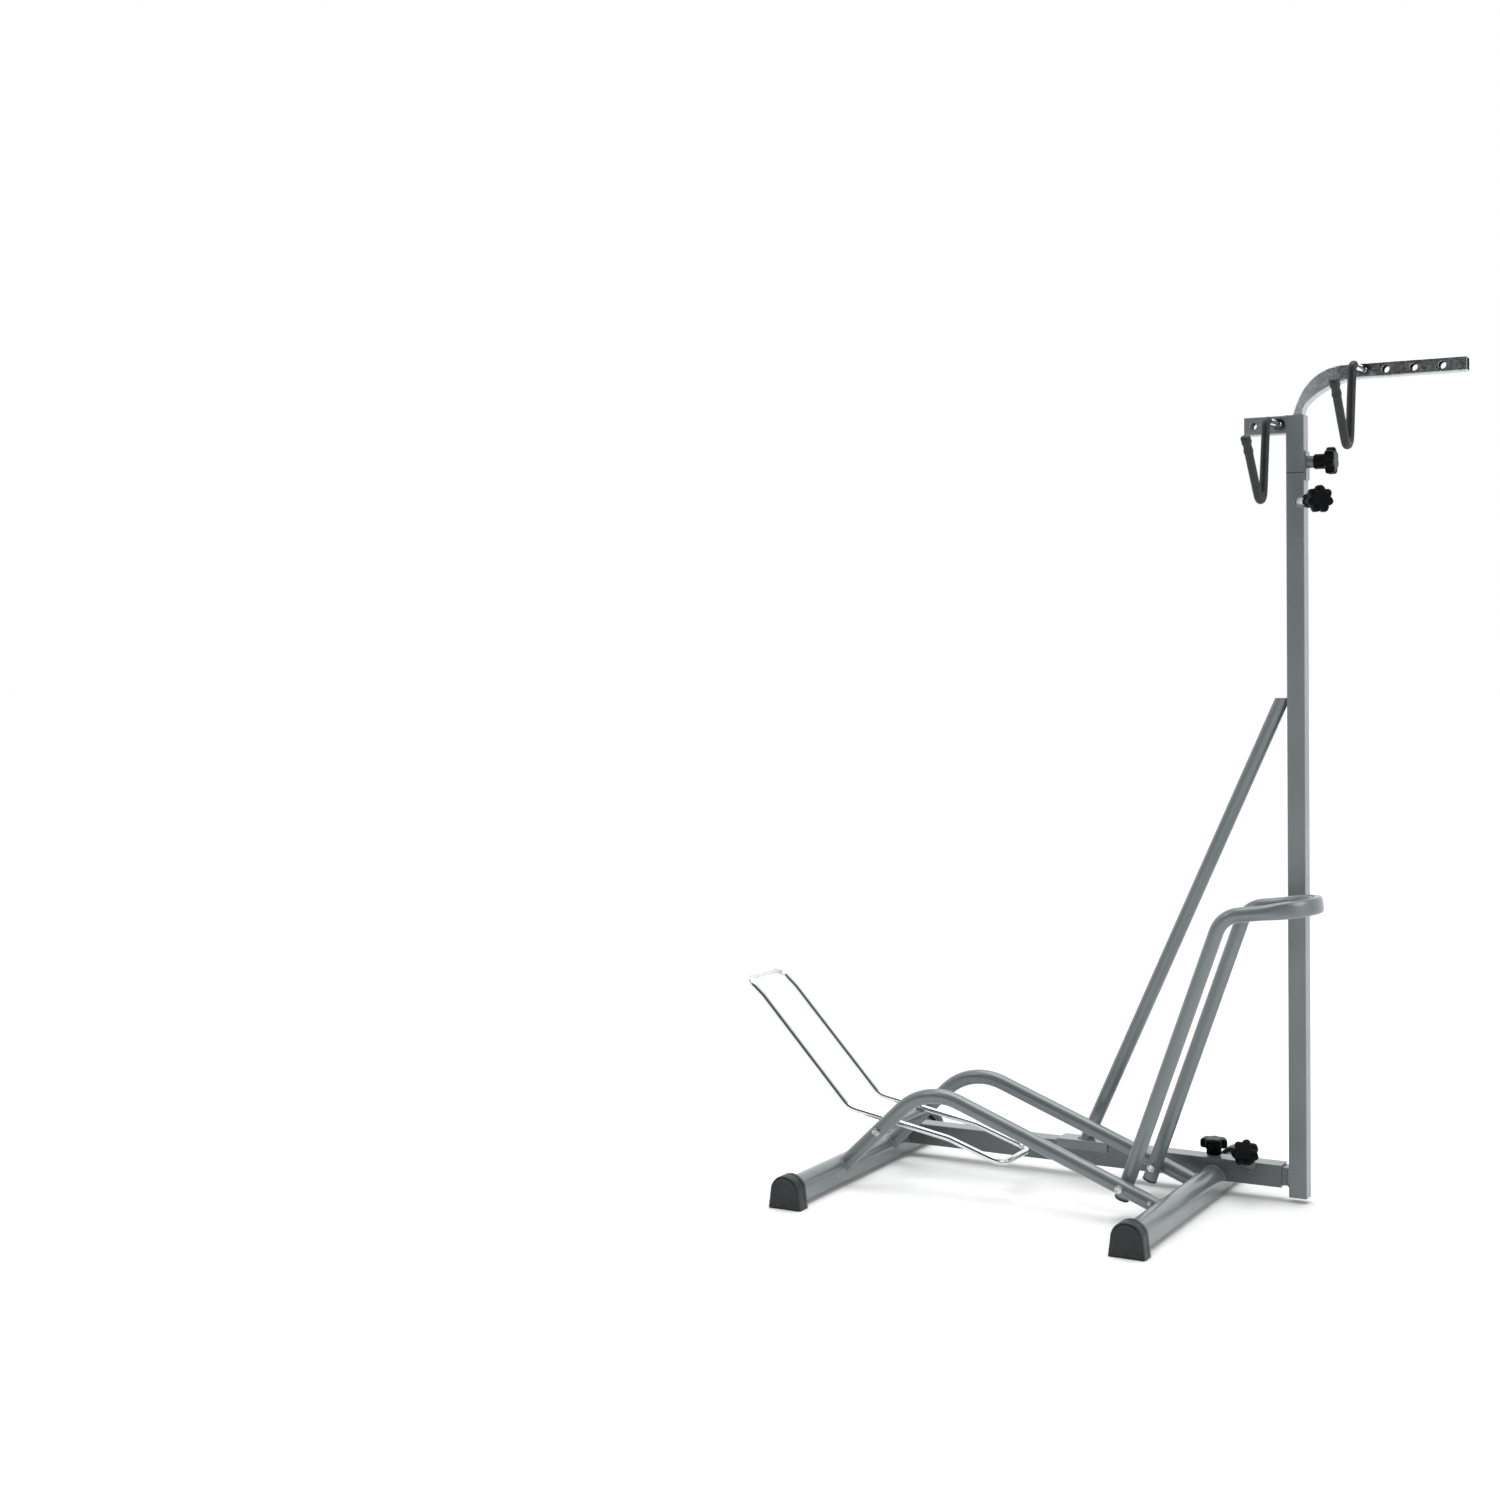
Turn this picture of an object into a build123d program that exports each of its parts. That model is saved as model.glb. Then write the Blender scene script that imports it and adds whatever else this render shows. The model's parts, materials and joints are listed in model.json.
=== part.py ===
"""Floor stand for a bicycle: a base that grips the rear wheel and a post with two frame hooks.

Millimetres, +Z up, floor at Z = 0.  +X runs along the wheel towards the post, +Y to the beam's side.
X is written from the right foot's middle plane and every node is moved by ORIGIN_X on export,
so the origin ends up under the middle of the whole stand.
"""
import os

from build123d import *
from math import cos, radians, sin, tan

# ---- placing ---------------------------------------------------------------------------------
ORIGIN_X = 126.25           # from the middle of the stand to the right foot
FOOT_SPACING = 396.0         # between the middles of the two feet
FOOT_LENGTH = 394.0          # over the end caps

# ---- feet ------------------------------------------------------------------------------------
FOOT_W = 27.0                # D-shaped tube: width, underside and top
FOOT_Z0 = 6.0
FOOT_Z1 = 31.5
FOOT_WALL = 1.5
CAP_W = 40.0                 # plastic end cap
CAP_TOP_W = 35.4
CAP_H = 36.8
CAP_LENGTH = 20.0
CAP_FACE = 3.0               # thickness of the cap's closed end

# ---- beam, stub and post ---------------------------------------------------------------------
LANE_Y = 110.1               # the beam, post and brace share this plane
BEAM = 25.0
BEAM_WALL = 2.4
BEAM_Z0 = 16.0
BEAM_LEFT = -FOOT_SPACING - 14.0
BEAM_RIGHT = 78.1
STUB = 20.0
STUB_WALL = 2.0
STUB_LEFT = -110.0
POST = 20.0
POST_WALL = 1.9
POST_LEFT = 86.1
POST_Z0 = 6.0
POST_Z1 = 816.6
PLUG_T = 2.5                 # visible head of a plastic plug
PLUG_DEEP = 9.0
POST_PLUG_IN = 1.5           # the post's plug is pushed up inside its foot

# ---- sleeve, bracket and mast ----------------------------------------------------------------
SEAM = 0.3                   # gap between pieces that move against each other
SLEEVE_Z1 = 881.5
BRACKET_LEFT = 39.0
BRACKET_H = 20.0
PAD_T = 2.0                  # plate under the sleeve knob's nut
PAD_WIDTH = 16.0
PAD_BELOW = 20.0             # the plate's reach below and above the knob
PAD_ABOVE = 12.0
MAST = 16.0
MAST_WALL = 1.6
MAST_Z0 = 255.0
ARM_TOP = 934.2
ARM_END = 281.0
ARM_HOLE_R = 4.25
ARM_HOLES_X = (195.5, 225.5, 255.5)
BEND_OUTER_Z = 845.0         # where the bend's outside leaves the leg, passes over and meets the arm
BEND_OUTER_MID = (101.9, 903.7)
BEND_OUTER_X = 151.7
BEND_INNER_Z = 880.5         # the same for its inside
BEND_INNER_MID = (110.7, 895.3)
BEND_INNER_X = 164.6
MAST_ROUND = 1.4

# ---- brace -----------------------------------------------------------------------------------
TUBE_R = 8.0                 # brace and hoop
TUBE_WALL = 1.5
BRACE_X = -102.5             # the brace's axis passes through this point
BRACE_Z = 161.2
BRACE_ANGLE = 65.8
BRACE_TOP = 565.0
SADDLE_LENGTH = 62.0
SADDLE_T = 2.5
SADDLE_SIDE = 8.0
SADDLE_SCREW_IN = 12.0       # from the saddle's ends to its screws
SADDLE_SCREW_Z = 37.5

# ---- side tubes ------------------------------------------------------------------------------
SIDE_R = 8.5
SIDE_Y = 63.3
PEAK_X = -283.6              # where the two straight runs would meet
PEAK_Z = 124.7
PEAK_BEND = 68.0
SIDE_LEFT_ANGLE = 44.0
SIDE_RIGHT_ANGLE = 20.8

# ---- wheel hoop ------------------------------------------------------------------------------
HOOP_Y = 46.5
HOOP_PIVOT = (-51.5, 36.7)   # X, Z
HOOP_TAIL = 15.5             # leg below the pivot
HOOP_LEG_ANGLE = 70.3
HOOP_BEND_X = 55.3
HOOP_BEND_R = 30.0
HOOP_TOP_ANGLE = 7.5
HOOP_ROUND_X = 98.0          # centre of the half-round end
HOOP_PLUG_T = 3.0
HOOP_PLUG_DEEP = 8.0

# ---- rocker ----------------------------------------------------------------------------------
WIRE_R = 3.5
ROCKER_Y = 41.0
ROCKER_PIVOT = (-342.7, 67.0)
ROCKER_SIDE = (              # X, Z of one side of the wire frame, front end first
    (-530.0, 226.2),
    (-507.8, 207.2),
    (-394.0, 84.5),
    (-266.0, 62.0),
    (-200.0, 40.0),
)
ROCKER_BENDS = (14.0, 40.0, 26.0, 60.0, 14.0)
ROCKER_TUBE_R = 6.0

# ---- fasteners -------------------------------------------------------------------------------
BOLT_R = 2.5                 # M5 bolts, screws and nuts
BOLT_HEX = 8.0
BOLT_HEAD = 3.5
BOLT_NUT_T = 4.7
BOLT_TAIL = 2.5              # thread showing beyond a nut
RUN_GAP = 0.05               # radial clearance of a pin in its hole
RIVET_X = -17.3
RIVET_Z = 25.5
RIVET_R = 1.6
RIVET_HEAD_R = 2.4
RIVET_HEAD_T = 1.2

# ---- hooks -----------------------------------------------------------------------------------
HOOK_R = 3.5
HOOK_RUBBER_R = 4.6
HOOK_ELBOW_Y = 46.0
HOOK_TAIL = 12.0             # threaded end behind the tube
HOOK_CORNER = (-16.3, -107.1)    # Y, Z of the V's point from the elbow
HOOK_TIP = (-79.5, -26.4)
HOOK_ELBOW_R = 9.0
HOOK_BEND_R = 12.3
HOOK_TIP_CAP = 2.0           # rubber beyond the rod's end
HOOK_TIP_SWELL = 0.8
HOOK_TIP_LENGTH = 9.0
HOOK_RUBBER_FIT = 0.02
HOOK_NUT_T = 5.0
HOOK_HEX = 12.0
LEFT_HOOK = (79.2, 871.5)    # X, Z of the root
RIGHT_HOOK = (173.0, 926.2)
BRACKET_HOLE_X = 49.2

# ---- star knobs ------------------------------------------------------------------------------
STUD_R = 4.0
STUD_HOLE_R = 4.3            # clearance hole in the outer tube
KNOB_R = 15.5
KNOB_LOBES = 7
LOBE_R = 4.65
KNOB_WEB_R = 12.1            # the star between its lobes
HUB_R = 8.5
HUB_FLUTE_R = 1.9
HUB_FLUTE_OUT = 0.9          # the flutes' centres lie this far outside the hub
STAR_T = 10.5
STAR_FACE = 3.0              # closed face over the stud
CLAMP_NUT_R = 7.0


# ---- helpers ---------------------------------------------------------------------------------
def box_between(low, high):
    """A box from its lowest to its highest corner."""
    size = [b - a for a, b in zip(low, high)]
    middle = [(a + b) / 2 for a, b in zip(low, high)]
    return Pos(*middle) * Box(*size)


def bar_along(direction, start, end, side, across=(0.0, 0.0), corner=1.2):
    """A square bar with rounded long edges, along X, Y or Z."""
    section = RectangleRounded(side, side, corner)
    length = end - start
    if direction == "X":
        plane = Plane((start, across[0], across[1]), x_dir=(0, 1, 0), z_dir=(1, 0, 0))
    elif direction == "Y":
        plane = Plane((across[0], start, across[1]), x_dir=(1, 0, 0), z_dir=(0, 1, 0))
    else:
        plane = Plane((across[0], across[1], start), x_dir=(1, 0, 0), z_dir=(0, 0, 1))
    return extrude(plane * section, length)


def square_tube(direction, start, end, side, wall, across):
    """A square tube, open at both ends."""
    outside = bar_along(direction, start, end, side, across)
    inside = bar_along(direction, start - 1, end + 1, side - 2 * wall, across, corner=0.6)
    return outside - inside


def rod_between(a, b, radius):
    """A round rod from point a to point b."""
    a, b = Vector(*a), Vector(*b)
    plane = Plane(a, z_dir=b - a)
    return extrude(plane * Circle(radius), (b - a).length)


def rod_along_y(x, z, y0, y1, radius):
    return rod_between((x, y0, z), (x, y1, z), radius)


def hex_between(a, b, across_flats):
    """A hexagonal bar from a to b."""
    a, b = Vector(*a), Vector(*b)
    plane = Plane(a, z_dir=b - a)
    return extrude(plane * RegularPolygon(across_flats / 2, 6, major_radius=False), (b - a).length)


def pipe(path, radius, wall):
    """A round tube swept along a path."""
    start = Plane(path @ 0, z_dir=path % 0)
    outer = sweep(start * Circle(radius), path=path)
    inner = sweep(start * Circle(radius - wall), path=path)
    return outer - inner


def rod_on(path, radius):
    return sweep(Plane(path @ 0, z_dir=path % 0) * Circle(radius), path=path)


def mirrored(shape):
    """The same piece on the other side of the wheel."""
    return mirror(shape, about=Plane.XZ)


def group(*shapes):
    """Several separate solids that share one node."""
    solids = []
    for shape in shapes:
        solids.extend(shape.solids())
    return Compound(solids)


# ---- feet ------------------------------------------------------------------------------------
def foot_section(inset=0.0):
    """The D shape of a foot tube, in X and Z, about the foot's middle."""
    half = FOOT_W / 2 - inset
    low = FOOT_Z0 + inset
    spring = FOOT_Z1 - FOOT_W / 2
    outline = Polyline((-half, spring), (-half, low), (half, low), (half, spring))
    outline += CenterArc((0, spring), half, 0, 180)
    return make_face(outline)


def foot_solid(x, inset=0.0, extra=0.0):
    half_length = FOOT_LENGTH / 2 - CAP_FACE + extra
    plane = Plane((x, half_length, 0), x_dir=(1, 0, 0), z_dir=(0, -1, 0))
    return extrude(plane * foot_section(inset), 2 * half_length)


def foot_tube(x):
    return foot_solid(x) - foot_solid(x, FOOT_WALL, 1.0) - beam_outside()


def foot_cap(x, side):
    """A bullet-shaped plastic cap that stands on the floor and covers the tube's end."""
    half = CAP_W / 2
    top = CAP_TOP_W / 2
    spring = CAP_H - top
    outline = Polyline((-top, spring), (-half, 0), (half, 0), (top, spring))
    outline += CenterArc((0, spring), top, 0, 180)
    end = side * FOOT_LENGTH / 2
    plane = Plane((x, end, 0), x_dir=(side, 0, 0), z_dir=(0, -side, 0))
    body = extrude(plane * make_face(outline), CAP_LENGTH)
    front = body.faces().filter_by(Axis.Y).sort_by(Axis.Y)[-1 if side > 0 else 0]
    body = chamfer(front.edges(), 1.2)
    return body - foot_solid(x)


# ---- beam ------------------------------------------------------------------------------------
BEAM_MID_Z = BEAM_Z0 + BEAM / 2
BEAM_TOP = BEAM_Z0 + BEAM
BEAM_NEAR = LANE_Y - BEAM / 2
POST_MID_X = POST_LEFT + POST / 2
POST_RIGHT = POST_LEFT + POST
POST_NEAR = LANE_Y - POST / 2
ROOT_HALF = 0.7071067811865476


def beam_outside():
    return bar_along("X", BEAM_LEFT, BEAM_RIGHT, BEAM, (LANE_Y, BEAM_MID_Z))


def beam():
    tube = square_tube("X", BEAM_LEFT, BEAM_RIGHT, BEAM, BEAM_WALL, (LANE_Y, BEAM_MID_Z))
    for knob in (BEAM_TOP_KNOB, BEAM_EDGE_KNOB):
        tube -= knob.drill()
    return tube


def plug(direction, end, side, wall, across, outwards):
    """A plastic plug with a thin head over the tube's end."""
    inner = side - 2 * wall
    head_end = end + outwards * PLUG_T
    deep_end = end - outwards * PLUG_DEEP
    head = bar_along(direction, min(end, head_end), max(end, head_end), side, across)
    body = bar_along(direction, min(end, deep_end), max(end, deep_end), inner, across, corner=0.6)
    return head + body


# ---- side tubes ------------------------------------------------------------------------------
def side_tube():
    """The near arched tube, between the tops of the two feet."""
    left_run = 150.0
    left = (
        PEAK_X - left_run * cos(radians(SIDE_LEFT_ANGLE)),
        PEAK_Z - left_run * sin(radians(SIDE_LEFT_ANGLE)),
    )
    right_x = -6.0
    right = (right_x, PEAK_Z - (right_x - PEAK_X) * tan(radians(SIDE_RIGHT_ANGLE)))
    path = FilletPolyline(left, (PEAK_X, PEAK_Z), right, radius=PEAK_BEND)
    path = Plane((0, -SIDE_Y, 0), x_dir=(1, 0, 0), z_dir=(0, -1, 0)) * path
    tube = pipe(path, SIDE_R, TUBE_WALL)
    tube -= foot_solid(-FOOT_SPACING)
    tube -= foot_solid(0)
    tube = tube.solids().sort_by(SortBy.VOLUME)[-1]
    for x, z in (HOOP_PIVOT, ROCKER_PIVOT):
        tube -= rod_along_y(x, z, -SIDE_Y - 20, -SIDE_Y + 20, BOLT_R + RUN_GAP)
    return tube - rod_along_y(RIVET_X, RIVET_Z, -SIDE_Y - 20, -SIDE_Y, RIVET_R)


def side_rivet():
    """A small round-headed rivet in the outer wall, beside the right foot."""
    seat = -SIDE_Y - SIDE_R
    shank = rod_along_y(RIVET_X, RIVET_Z, seat, -SIDE_Y, RIVET_R)
    head = rod_along_y(RIVET_X, RIVET_Z, seat - RIVET_HEAD_T, seat, RIVET_HEAD_R)
    return shank + head


# ---- wheel hoop ------------------------------------------------------------------------------
def hoop_point(along):
    """A point of the near leg's axis, at a distance above the pivot."""
    angle = radians(HOOP_LEG_ANGLE)
    return (HOOP_PIVOT[0] + along * cos(angle), HOOP_PIVOT[1] + along * sin(angle))


def hoop():
    """The bent tube that stands up behind the wheel and passes round its tread."""
    rise = tan(radians(HOOP_TOP_ANGLE))
    bend_z = HOOP_PIVOT[1] + (HOOP_BEND_X - HOOP_PIVOT[0]) * tan(radians(HOOP_LEG_ANGLE))
    round_z = bend_z + (HOOP_ROUND_X - HOOP_BEND_X) * rise
    leg = FilletPolyline(
        hoop_point(-HOOP_TAIL),
        (HOOP_BEND_X, bend_z),
        (HOOP_ROUND_X, round_z),
        radius=HOOP_BEND_R,
    )
    near = Plane((0, -HOOP_Y, 0), x_dir=(1, 0, 0), z_dir=(0, -1, 0)) * leg
    tilt = radians(HOOP_TOP_ANGLE)
    round_plane = Plane(
        (HOOP_ROUND_X, 0, round_z),
        x_dir=(cos(tilt), 0, sin(tilt)),
        z_dir=(-sin(tilt), 0, cos(tilt)),
    )
    end = round_plane * CenterArc((0, 0), HOOP_Y, -90, 90)
    half = pipe(near, TUBE_R, TUBE_WALL) + pipe(end, TUBE_R, TUBE_WALL)
    tube = half + mirrored(half)
    for side in (-1, 1):
        tube -= rod_along_y(*HOOP_PIVOT, side * HOOP_Y - 20, side * HOOP_Y + 20, BOLT_R + RUN_GAP)
    return tube


def hoop_plug():
    """The plug in the foot of the near leg."""
    points = []
    for along in (0.0, -HOOP_PLUG_T, HOOP_PLUG_DEEP):
        x, z = hoop_point(along - HOOP_TAIL)
        points.append((x, -HOOP_Y, z))
    tail, head, deep = points
    return rod_between(tail, head, TUBE_R) + rod_between(tail, deep, TUBE_R - TUBE_WALL)


def hoop_bolt():
    """The bolt that carries the near leg, with its head outside."""
    outer = -SIDE_Y - SIDE_R
    inner = -HOOP_Y + TUBE_R
    x, z = HOOP_PIVOT
    head = hex_between((x, outer - BOLT_HEAD, z), (x, outer, z), BOLT_HEX)
    return head + rod_along_y(x, z, outer, inner + SEAM + BOLT_NUT_T + BOLT_TAIL, BOLT_R)


def hoop_nut():
    inner = -HOOP_Y + TUBE_R + SEAM
    x, z = HOOP_PIVOT
    nut = hex_between((x, inner, z), (x, inner + BOLT_NUT_T, z), BOLT_HEX)
    return nut - rod_along_y(x, z, inner - 1, inner + BOLT_NUT_T + 1, BOLT_R)


# ---- rocker ----------------------------------------------------------------------------------
def rocker_half():
    """The near half of the wire frame, from the middle of one crossing to the other."""
    points = [(ROCKER_SIDE[0][0], 0, ROCKER_SIDE[0][1])]
    points += [(x, -ROCKER_Y, z) for x, z in ROCKER_SIDE]
    points += [(ROCKER_SIDE[-1][0], 0, ROCKER_SIDE[-1][1])]
    path = FilletPolyline(*points, radius=list(ROCKER_BENDS))
    return rod_on(path, WIRE_R)


def rocker_wire():
    near = rocker_half()
    return near + mirrored(near)


def rocker_tube():
    """The cross tube under the wires that turns on the long bolt."""
    half = SIDE_Y - SIDE_R - SEAM
    tube = rod_along_y(*ROCKER_PIVOT, -half, half, ROCKER_TUBE_R)
    tube -= rod_along_y(*ROCKER_PIVOT, -half - 1, half + 1, BOLT_R + RUN_GAP)
    return tube - rocker_wire()


def rocker_bolt():
    outer = SIDE_Y + SIDE_R
    x, z = ROCKER_PIVOT
    head = hex_between((x, -outer - BOLT_HEAD, z), (x, -outer, z), BOLT_HEX)
    return head + rod_along_y(x, z, -outer, outer + BOLT_NUT_T + BOLT_TAIL, BOLT_R)


def rocker_nut():
    outer = SIDE_Y + SIDE_R
    x, z = ROCKER_PIVOT
    nut = hex_between((x, outer, z), (x, outer + BOLT_NUT_T, z), BOLT_HEX)
    return nut - rod_along_y(x, z, outer - 1, outer + BOLT_NUT_T + 1, BOLT_R)


# ---- post and brace --------------------------------------------------------------------------
def stub():
    return square_tube("X", STUB_LEFT, POST_LEFT, STUB, STUB_WALL, (LANE_Y, BEAM_MID_Z))


def post():
    tube = square_tube("Z", POST_Z0, POST_Z1, POST, POST_WALL, (POST_MID_X, LANE_Y))
    return tube - POST_KNOB.drill()


def post_plug():
    """A plastic plug pushed up inside the post's foot."""
    low = POST_Z0 + POST_PLUG_IN
    inner = POST - 2 * POST_WALL
    return bar_along("Z", low, low + PLUG_DEEP, inner, (POST_MID_X, LANE_Y), corner=0.6)


def brace():
    """The sloping tube from the beam's saddle up to the post's left face."""
    slope = tan(radians(BRACE_ANGLE))
    low = 0.0
    high = BRACE_TOP + 4 * TUBE_R
    start = (BRACE_X + (low - BRACE_Z) / slope, LANE_Y, low)
    end = (BRACE_X + (high - BRACE_Z) / slope, LANE_Y, high)
    tube = rod_between(start, end, TUBE_R) - rod_between(start, end, TUBE_R - TUBE_WALL)
    keep = box_between(
        (-400, LANE_Y - 30, BEAM_TOP + SEAM + SADDLE_T),
        (POST_LEFT, LANE_Y + 30, BRACE_TOP),
    )
    return tube & keep


SADDLE_X = BRACE_X + (BEAM_TOP - BRACE_Z) / tan(radians(BRACE_ANGLE))


def saddle_screw_places():
    reach = SADDLE_LENGTH / 2 - SADDLE_SCREW_IN
    return (SADDLE_X - reach, SADDLE_X + reach)


def saddle():
    """An upturned channel that slides on the beam's top and carries the brace."""
    low = SADDLE_X - SADDLE_LENGTH / 2
    high = SADDLE_X + SADDLE_LENGTH / 2
    reach = BEAM / 2 + SEAM
    outside = box_between(
        (low, LANE_Y - reach - SADDLE_T, BEAM_TOP - SADDLE_SIDE),
        (high, LANE_Y + reach + SADDLE_T, BEAM_TOP + SEAM + SADDLE_T),
    )
    inside = box_between(
        (low - 1, LANE_Y - reach, BEAM_TOP - SADDLE_SIDE - 1),
        (high + 1, LANE_Y + reach, BEAM_TOP + SEAM),
    )
    long_edges = outside.edges().filter_by(Axis.X).sort_by(Axis.Z)[-2:]
    shell = fillet(long_edges, 1.5) - inside
    for x in saddle_screw_places():
        shell -= rod_along_y(x, SADDLE_SCREW_Z, LANE_Y, LANE_Y + 30, BOLT_R)
    return shell


def saddle_screws():
    """Two set screws in the saddle's far side."""
    face = LANE_Y + BEAM / 2 + SEAM + SADDLE_T
    screws = []
    z = SADDLE_SCREW_Z
    for x in saddle_screw_places():
        head = hex_between((x, face, z), (x, face + BOLT_HEAD, z), BOLT_HEX)
        screws.append(head + rod_along_y(x, z, face - SADDLE_T, face, BOLT_R))
    return group(*screws)


# ---- sleeve, bracket, mast -------------------------------------------------------------------
SLEEVE_Z0 = POST_Z1 + SEAM


def sleeve():
    tube = square_tube("Z", SLEEVE_Z0, SLEEVE_Z1, POST, POST_WALL, (POST_MID_X, LANE_Y))
    return tube - SLEEVE_KNOB.drill()


def sleeve_pad():
    """The plate under the sleeve knob's nut."""
    x = POST_RIGHT
    z = SLEEVE_KNOB.base[2]
    half = PAD_WIDTH / 2
    pad = box_between((x, LANE_Y - half, z - PAD_BELOW), (x + PAD_T, LANE_Y + half, z + PAD_ABOVE))
    return pad - SLEEVE_KNOB.drill()


def bracket():
    """A short square tube on the sleeve's left face, with two cross holes."""
    mid_z = SLEEVE_Z1 - BRACKET_H / 2
    tube = square_tube("X", BRACKET_LEFT, POST_LEFT, BRACKET_H, POST_WALL, (LANE_Y, mid_z))
    tube -= rod_along_y(BRACKET_HOLE_X, LEFT_HOOK[1], LANE_Y - 20, LANE_Y + 20, ARM_HOLE_R)
    return tube - rod_along_y(*LEFT_HOOK, LANE_Y - 20, LANE_Y + 20, HOOK_R + RUN_GAP)


def mast_outline(inset, low, end):
    """The mast seen from the front: a straight leg, a bend that widens, and a level arm."""
    left = POST_MID_X - MAST / 2 + inset
    right = POST_MID_X + MAST / 2 - inset
    top = ARM_TOP - inset
    arm_low = ARM_TOP - MAST + inset
    outer_start = (left, BEND_OUTER_Z)
    outer_mid = (BEND_OUTER_MID[0] + inset * 0.8, BEND_OUTER_MID[1] - inset * 0.5)
    outer_end = (BEND_OUTER_X, top)
    inner_start = (right, BEND_INNER_Z)
    inner_mid = (BEND_INNER_MID[0] - inset * 0.7, BEND_INNER_MID[1] + inset * 0.7)
    inner_end = (BEND_INNER_X, arm_low)
    outer_leg = Line((left, low), outer_start)
    outer_low = TangentArc(outer_start, outer_mid, tangent=(0, 1))
    outer_high = TangentArc(outer_mid, outer_end, tangent=outer_low % 1)
    outer_arm = Line(outer_end, (end, top))
    closing = Line((end, top), (end, arm_low))
    inner_leg = Line((right, low), inner_start)
    inner_low = TangentArc(inner_start, inner_mid, tangent=(0, 1))
    inner_high = TangentArc(inner_mid, inner_end, tangent=inner_low % 1)
    inner_arm = Line(inner_end, (end, arm_low))
    bottom = Line((left, low), (right, low))
    edges = [outer_leg, outer_low, outer_high, outer_arm, closing]
    edges += [inner_arm, inner_high, inner_low, inner_leg, bottom]
    return make_face(edges)


def mast():
    """The square tube that telescopes in the post and carries the level arm."""
    plane = Plane((0, LANE_Y, 0), x_dir=(1, 0, 0), z_dir=(0, -1, 0))
    outside = extrude(plane * mast_outline(0, MAST_Z0, ARM_END), MAST / 2, both=True)
    long_edges = outside.edges().filter_by(lambda e: abs(abs(e.center().Y - LANE_Y) - MAST / 2) < 0.01)
    keep = [e for e in long_edges if MAST_Z0 + 1 < e.center().Z and e.center().X < ARM_END - 1]
    outside = fillet(keep, MAST_ROUND)
    inside = extrude(
        plane * mast_outline(MAST_WALL, MAST_Z0 - 1, ARM_END + 1),
        MAST / 2 - MAST_WALL,
        both=True,
    )
    tube = outside - inside
    for x in ARM_HOLES_X:
        tube -= rod_along_y(x, ARM_TOP - MAST / 2, LANE_Y - 20, LANE_Y + 20, ARM_HOLE_R)
    return tube - rod_along_y(*RIGHT_HOOK, LANE_Y - 20, LANE_Y + 20, HOOK_R + RUN_GAP)


# ---- hooks -----------------------------------------------------------------------------------
def hook_points(x, z, back):
    """The hook's corners: threaded tail, elbow, point of the V, free tip."""
    return [
        (x, back, z),
        (x, HOOK_ELBOW_Y, z),
        (x, HOOK_ELBOW_Y + HOOK_CORNER[0], z + HOOK_CORNER[1]),
        (x, HOOK_ELBOW_Y + HOOK_TIP[0], z + HOOK_TIP[1]),
    ]


def hook_rod(x, z, back):
    path = FilletPolyline(*hook_points(x, z, back), radius=[HOOK_ELBOW_R, HOOK_BEND_R])
    return rod_on(path, HOOK_R)


def hook_rubber(x, z, back):
    """The rubber sleeve over the elbow and the V, closed and a little thicker at the tip."""
    corners = [Vector(*p) for p in hook_points(x, z, back)]
    elbow, corner, tip = corners[1:]
    start = elbow + Vector(0, HOOK_ELBOW_R, 0)
    path = FilletPolyline(start, elbow, corner, tip, radius=[HOOK_ELBOW_R, HOOK_BEND_R])
    bore = HOOK_R + HOOK_RUBBER_FIT
    rubber = pipe(path, HOOK_RUBBER_R, HOOK_RUBBER_R - bore)
    out = (tip - corner).normalized()
    low = tip - out * HOOK_TIP_LENGTH
    rubber += rod_between(low, tip + out * HOOK_TIP_CAP, HOOK_RUBBER_R + HOOK_TIP_SWELL)
    return rubber - rod_between(low - out * 5, tip, bore)


def hook_nuts(x, z, near, far):
    """Locking nuts on both sides of the tube."""
    nuts = []
    for start in (near - SEAM - HOOK_NUT_T, far + SEAM):
        nut = hex_between((x, start, z), (x, start + HOOK_NUT_T, z), HOOK_HEX)
        nuts.append(nut - rod_along_y(x, z, start - 1, start + HOOK_NUT_T + 1, HOOK_R))
    return group(*nuts)


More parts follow.
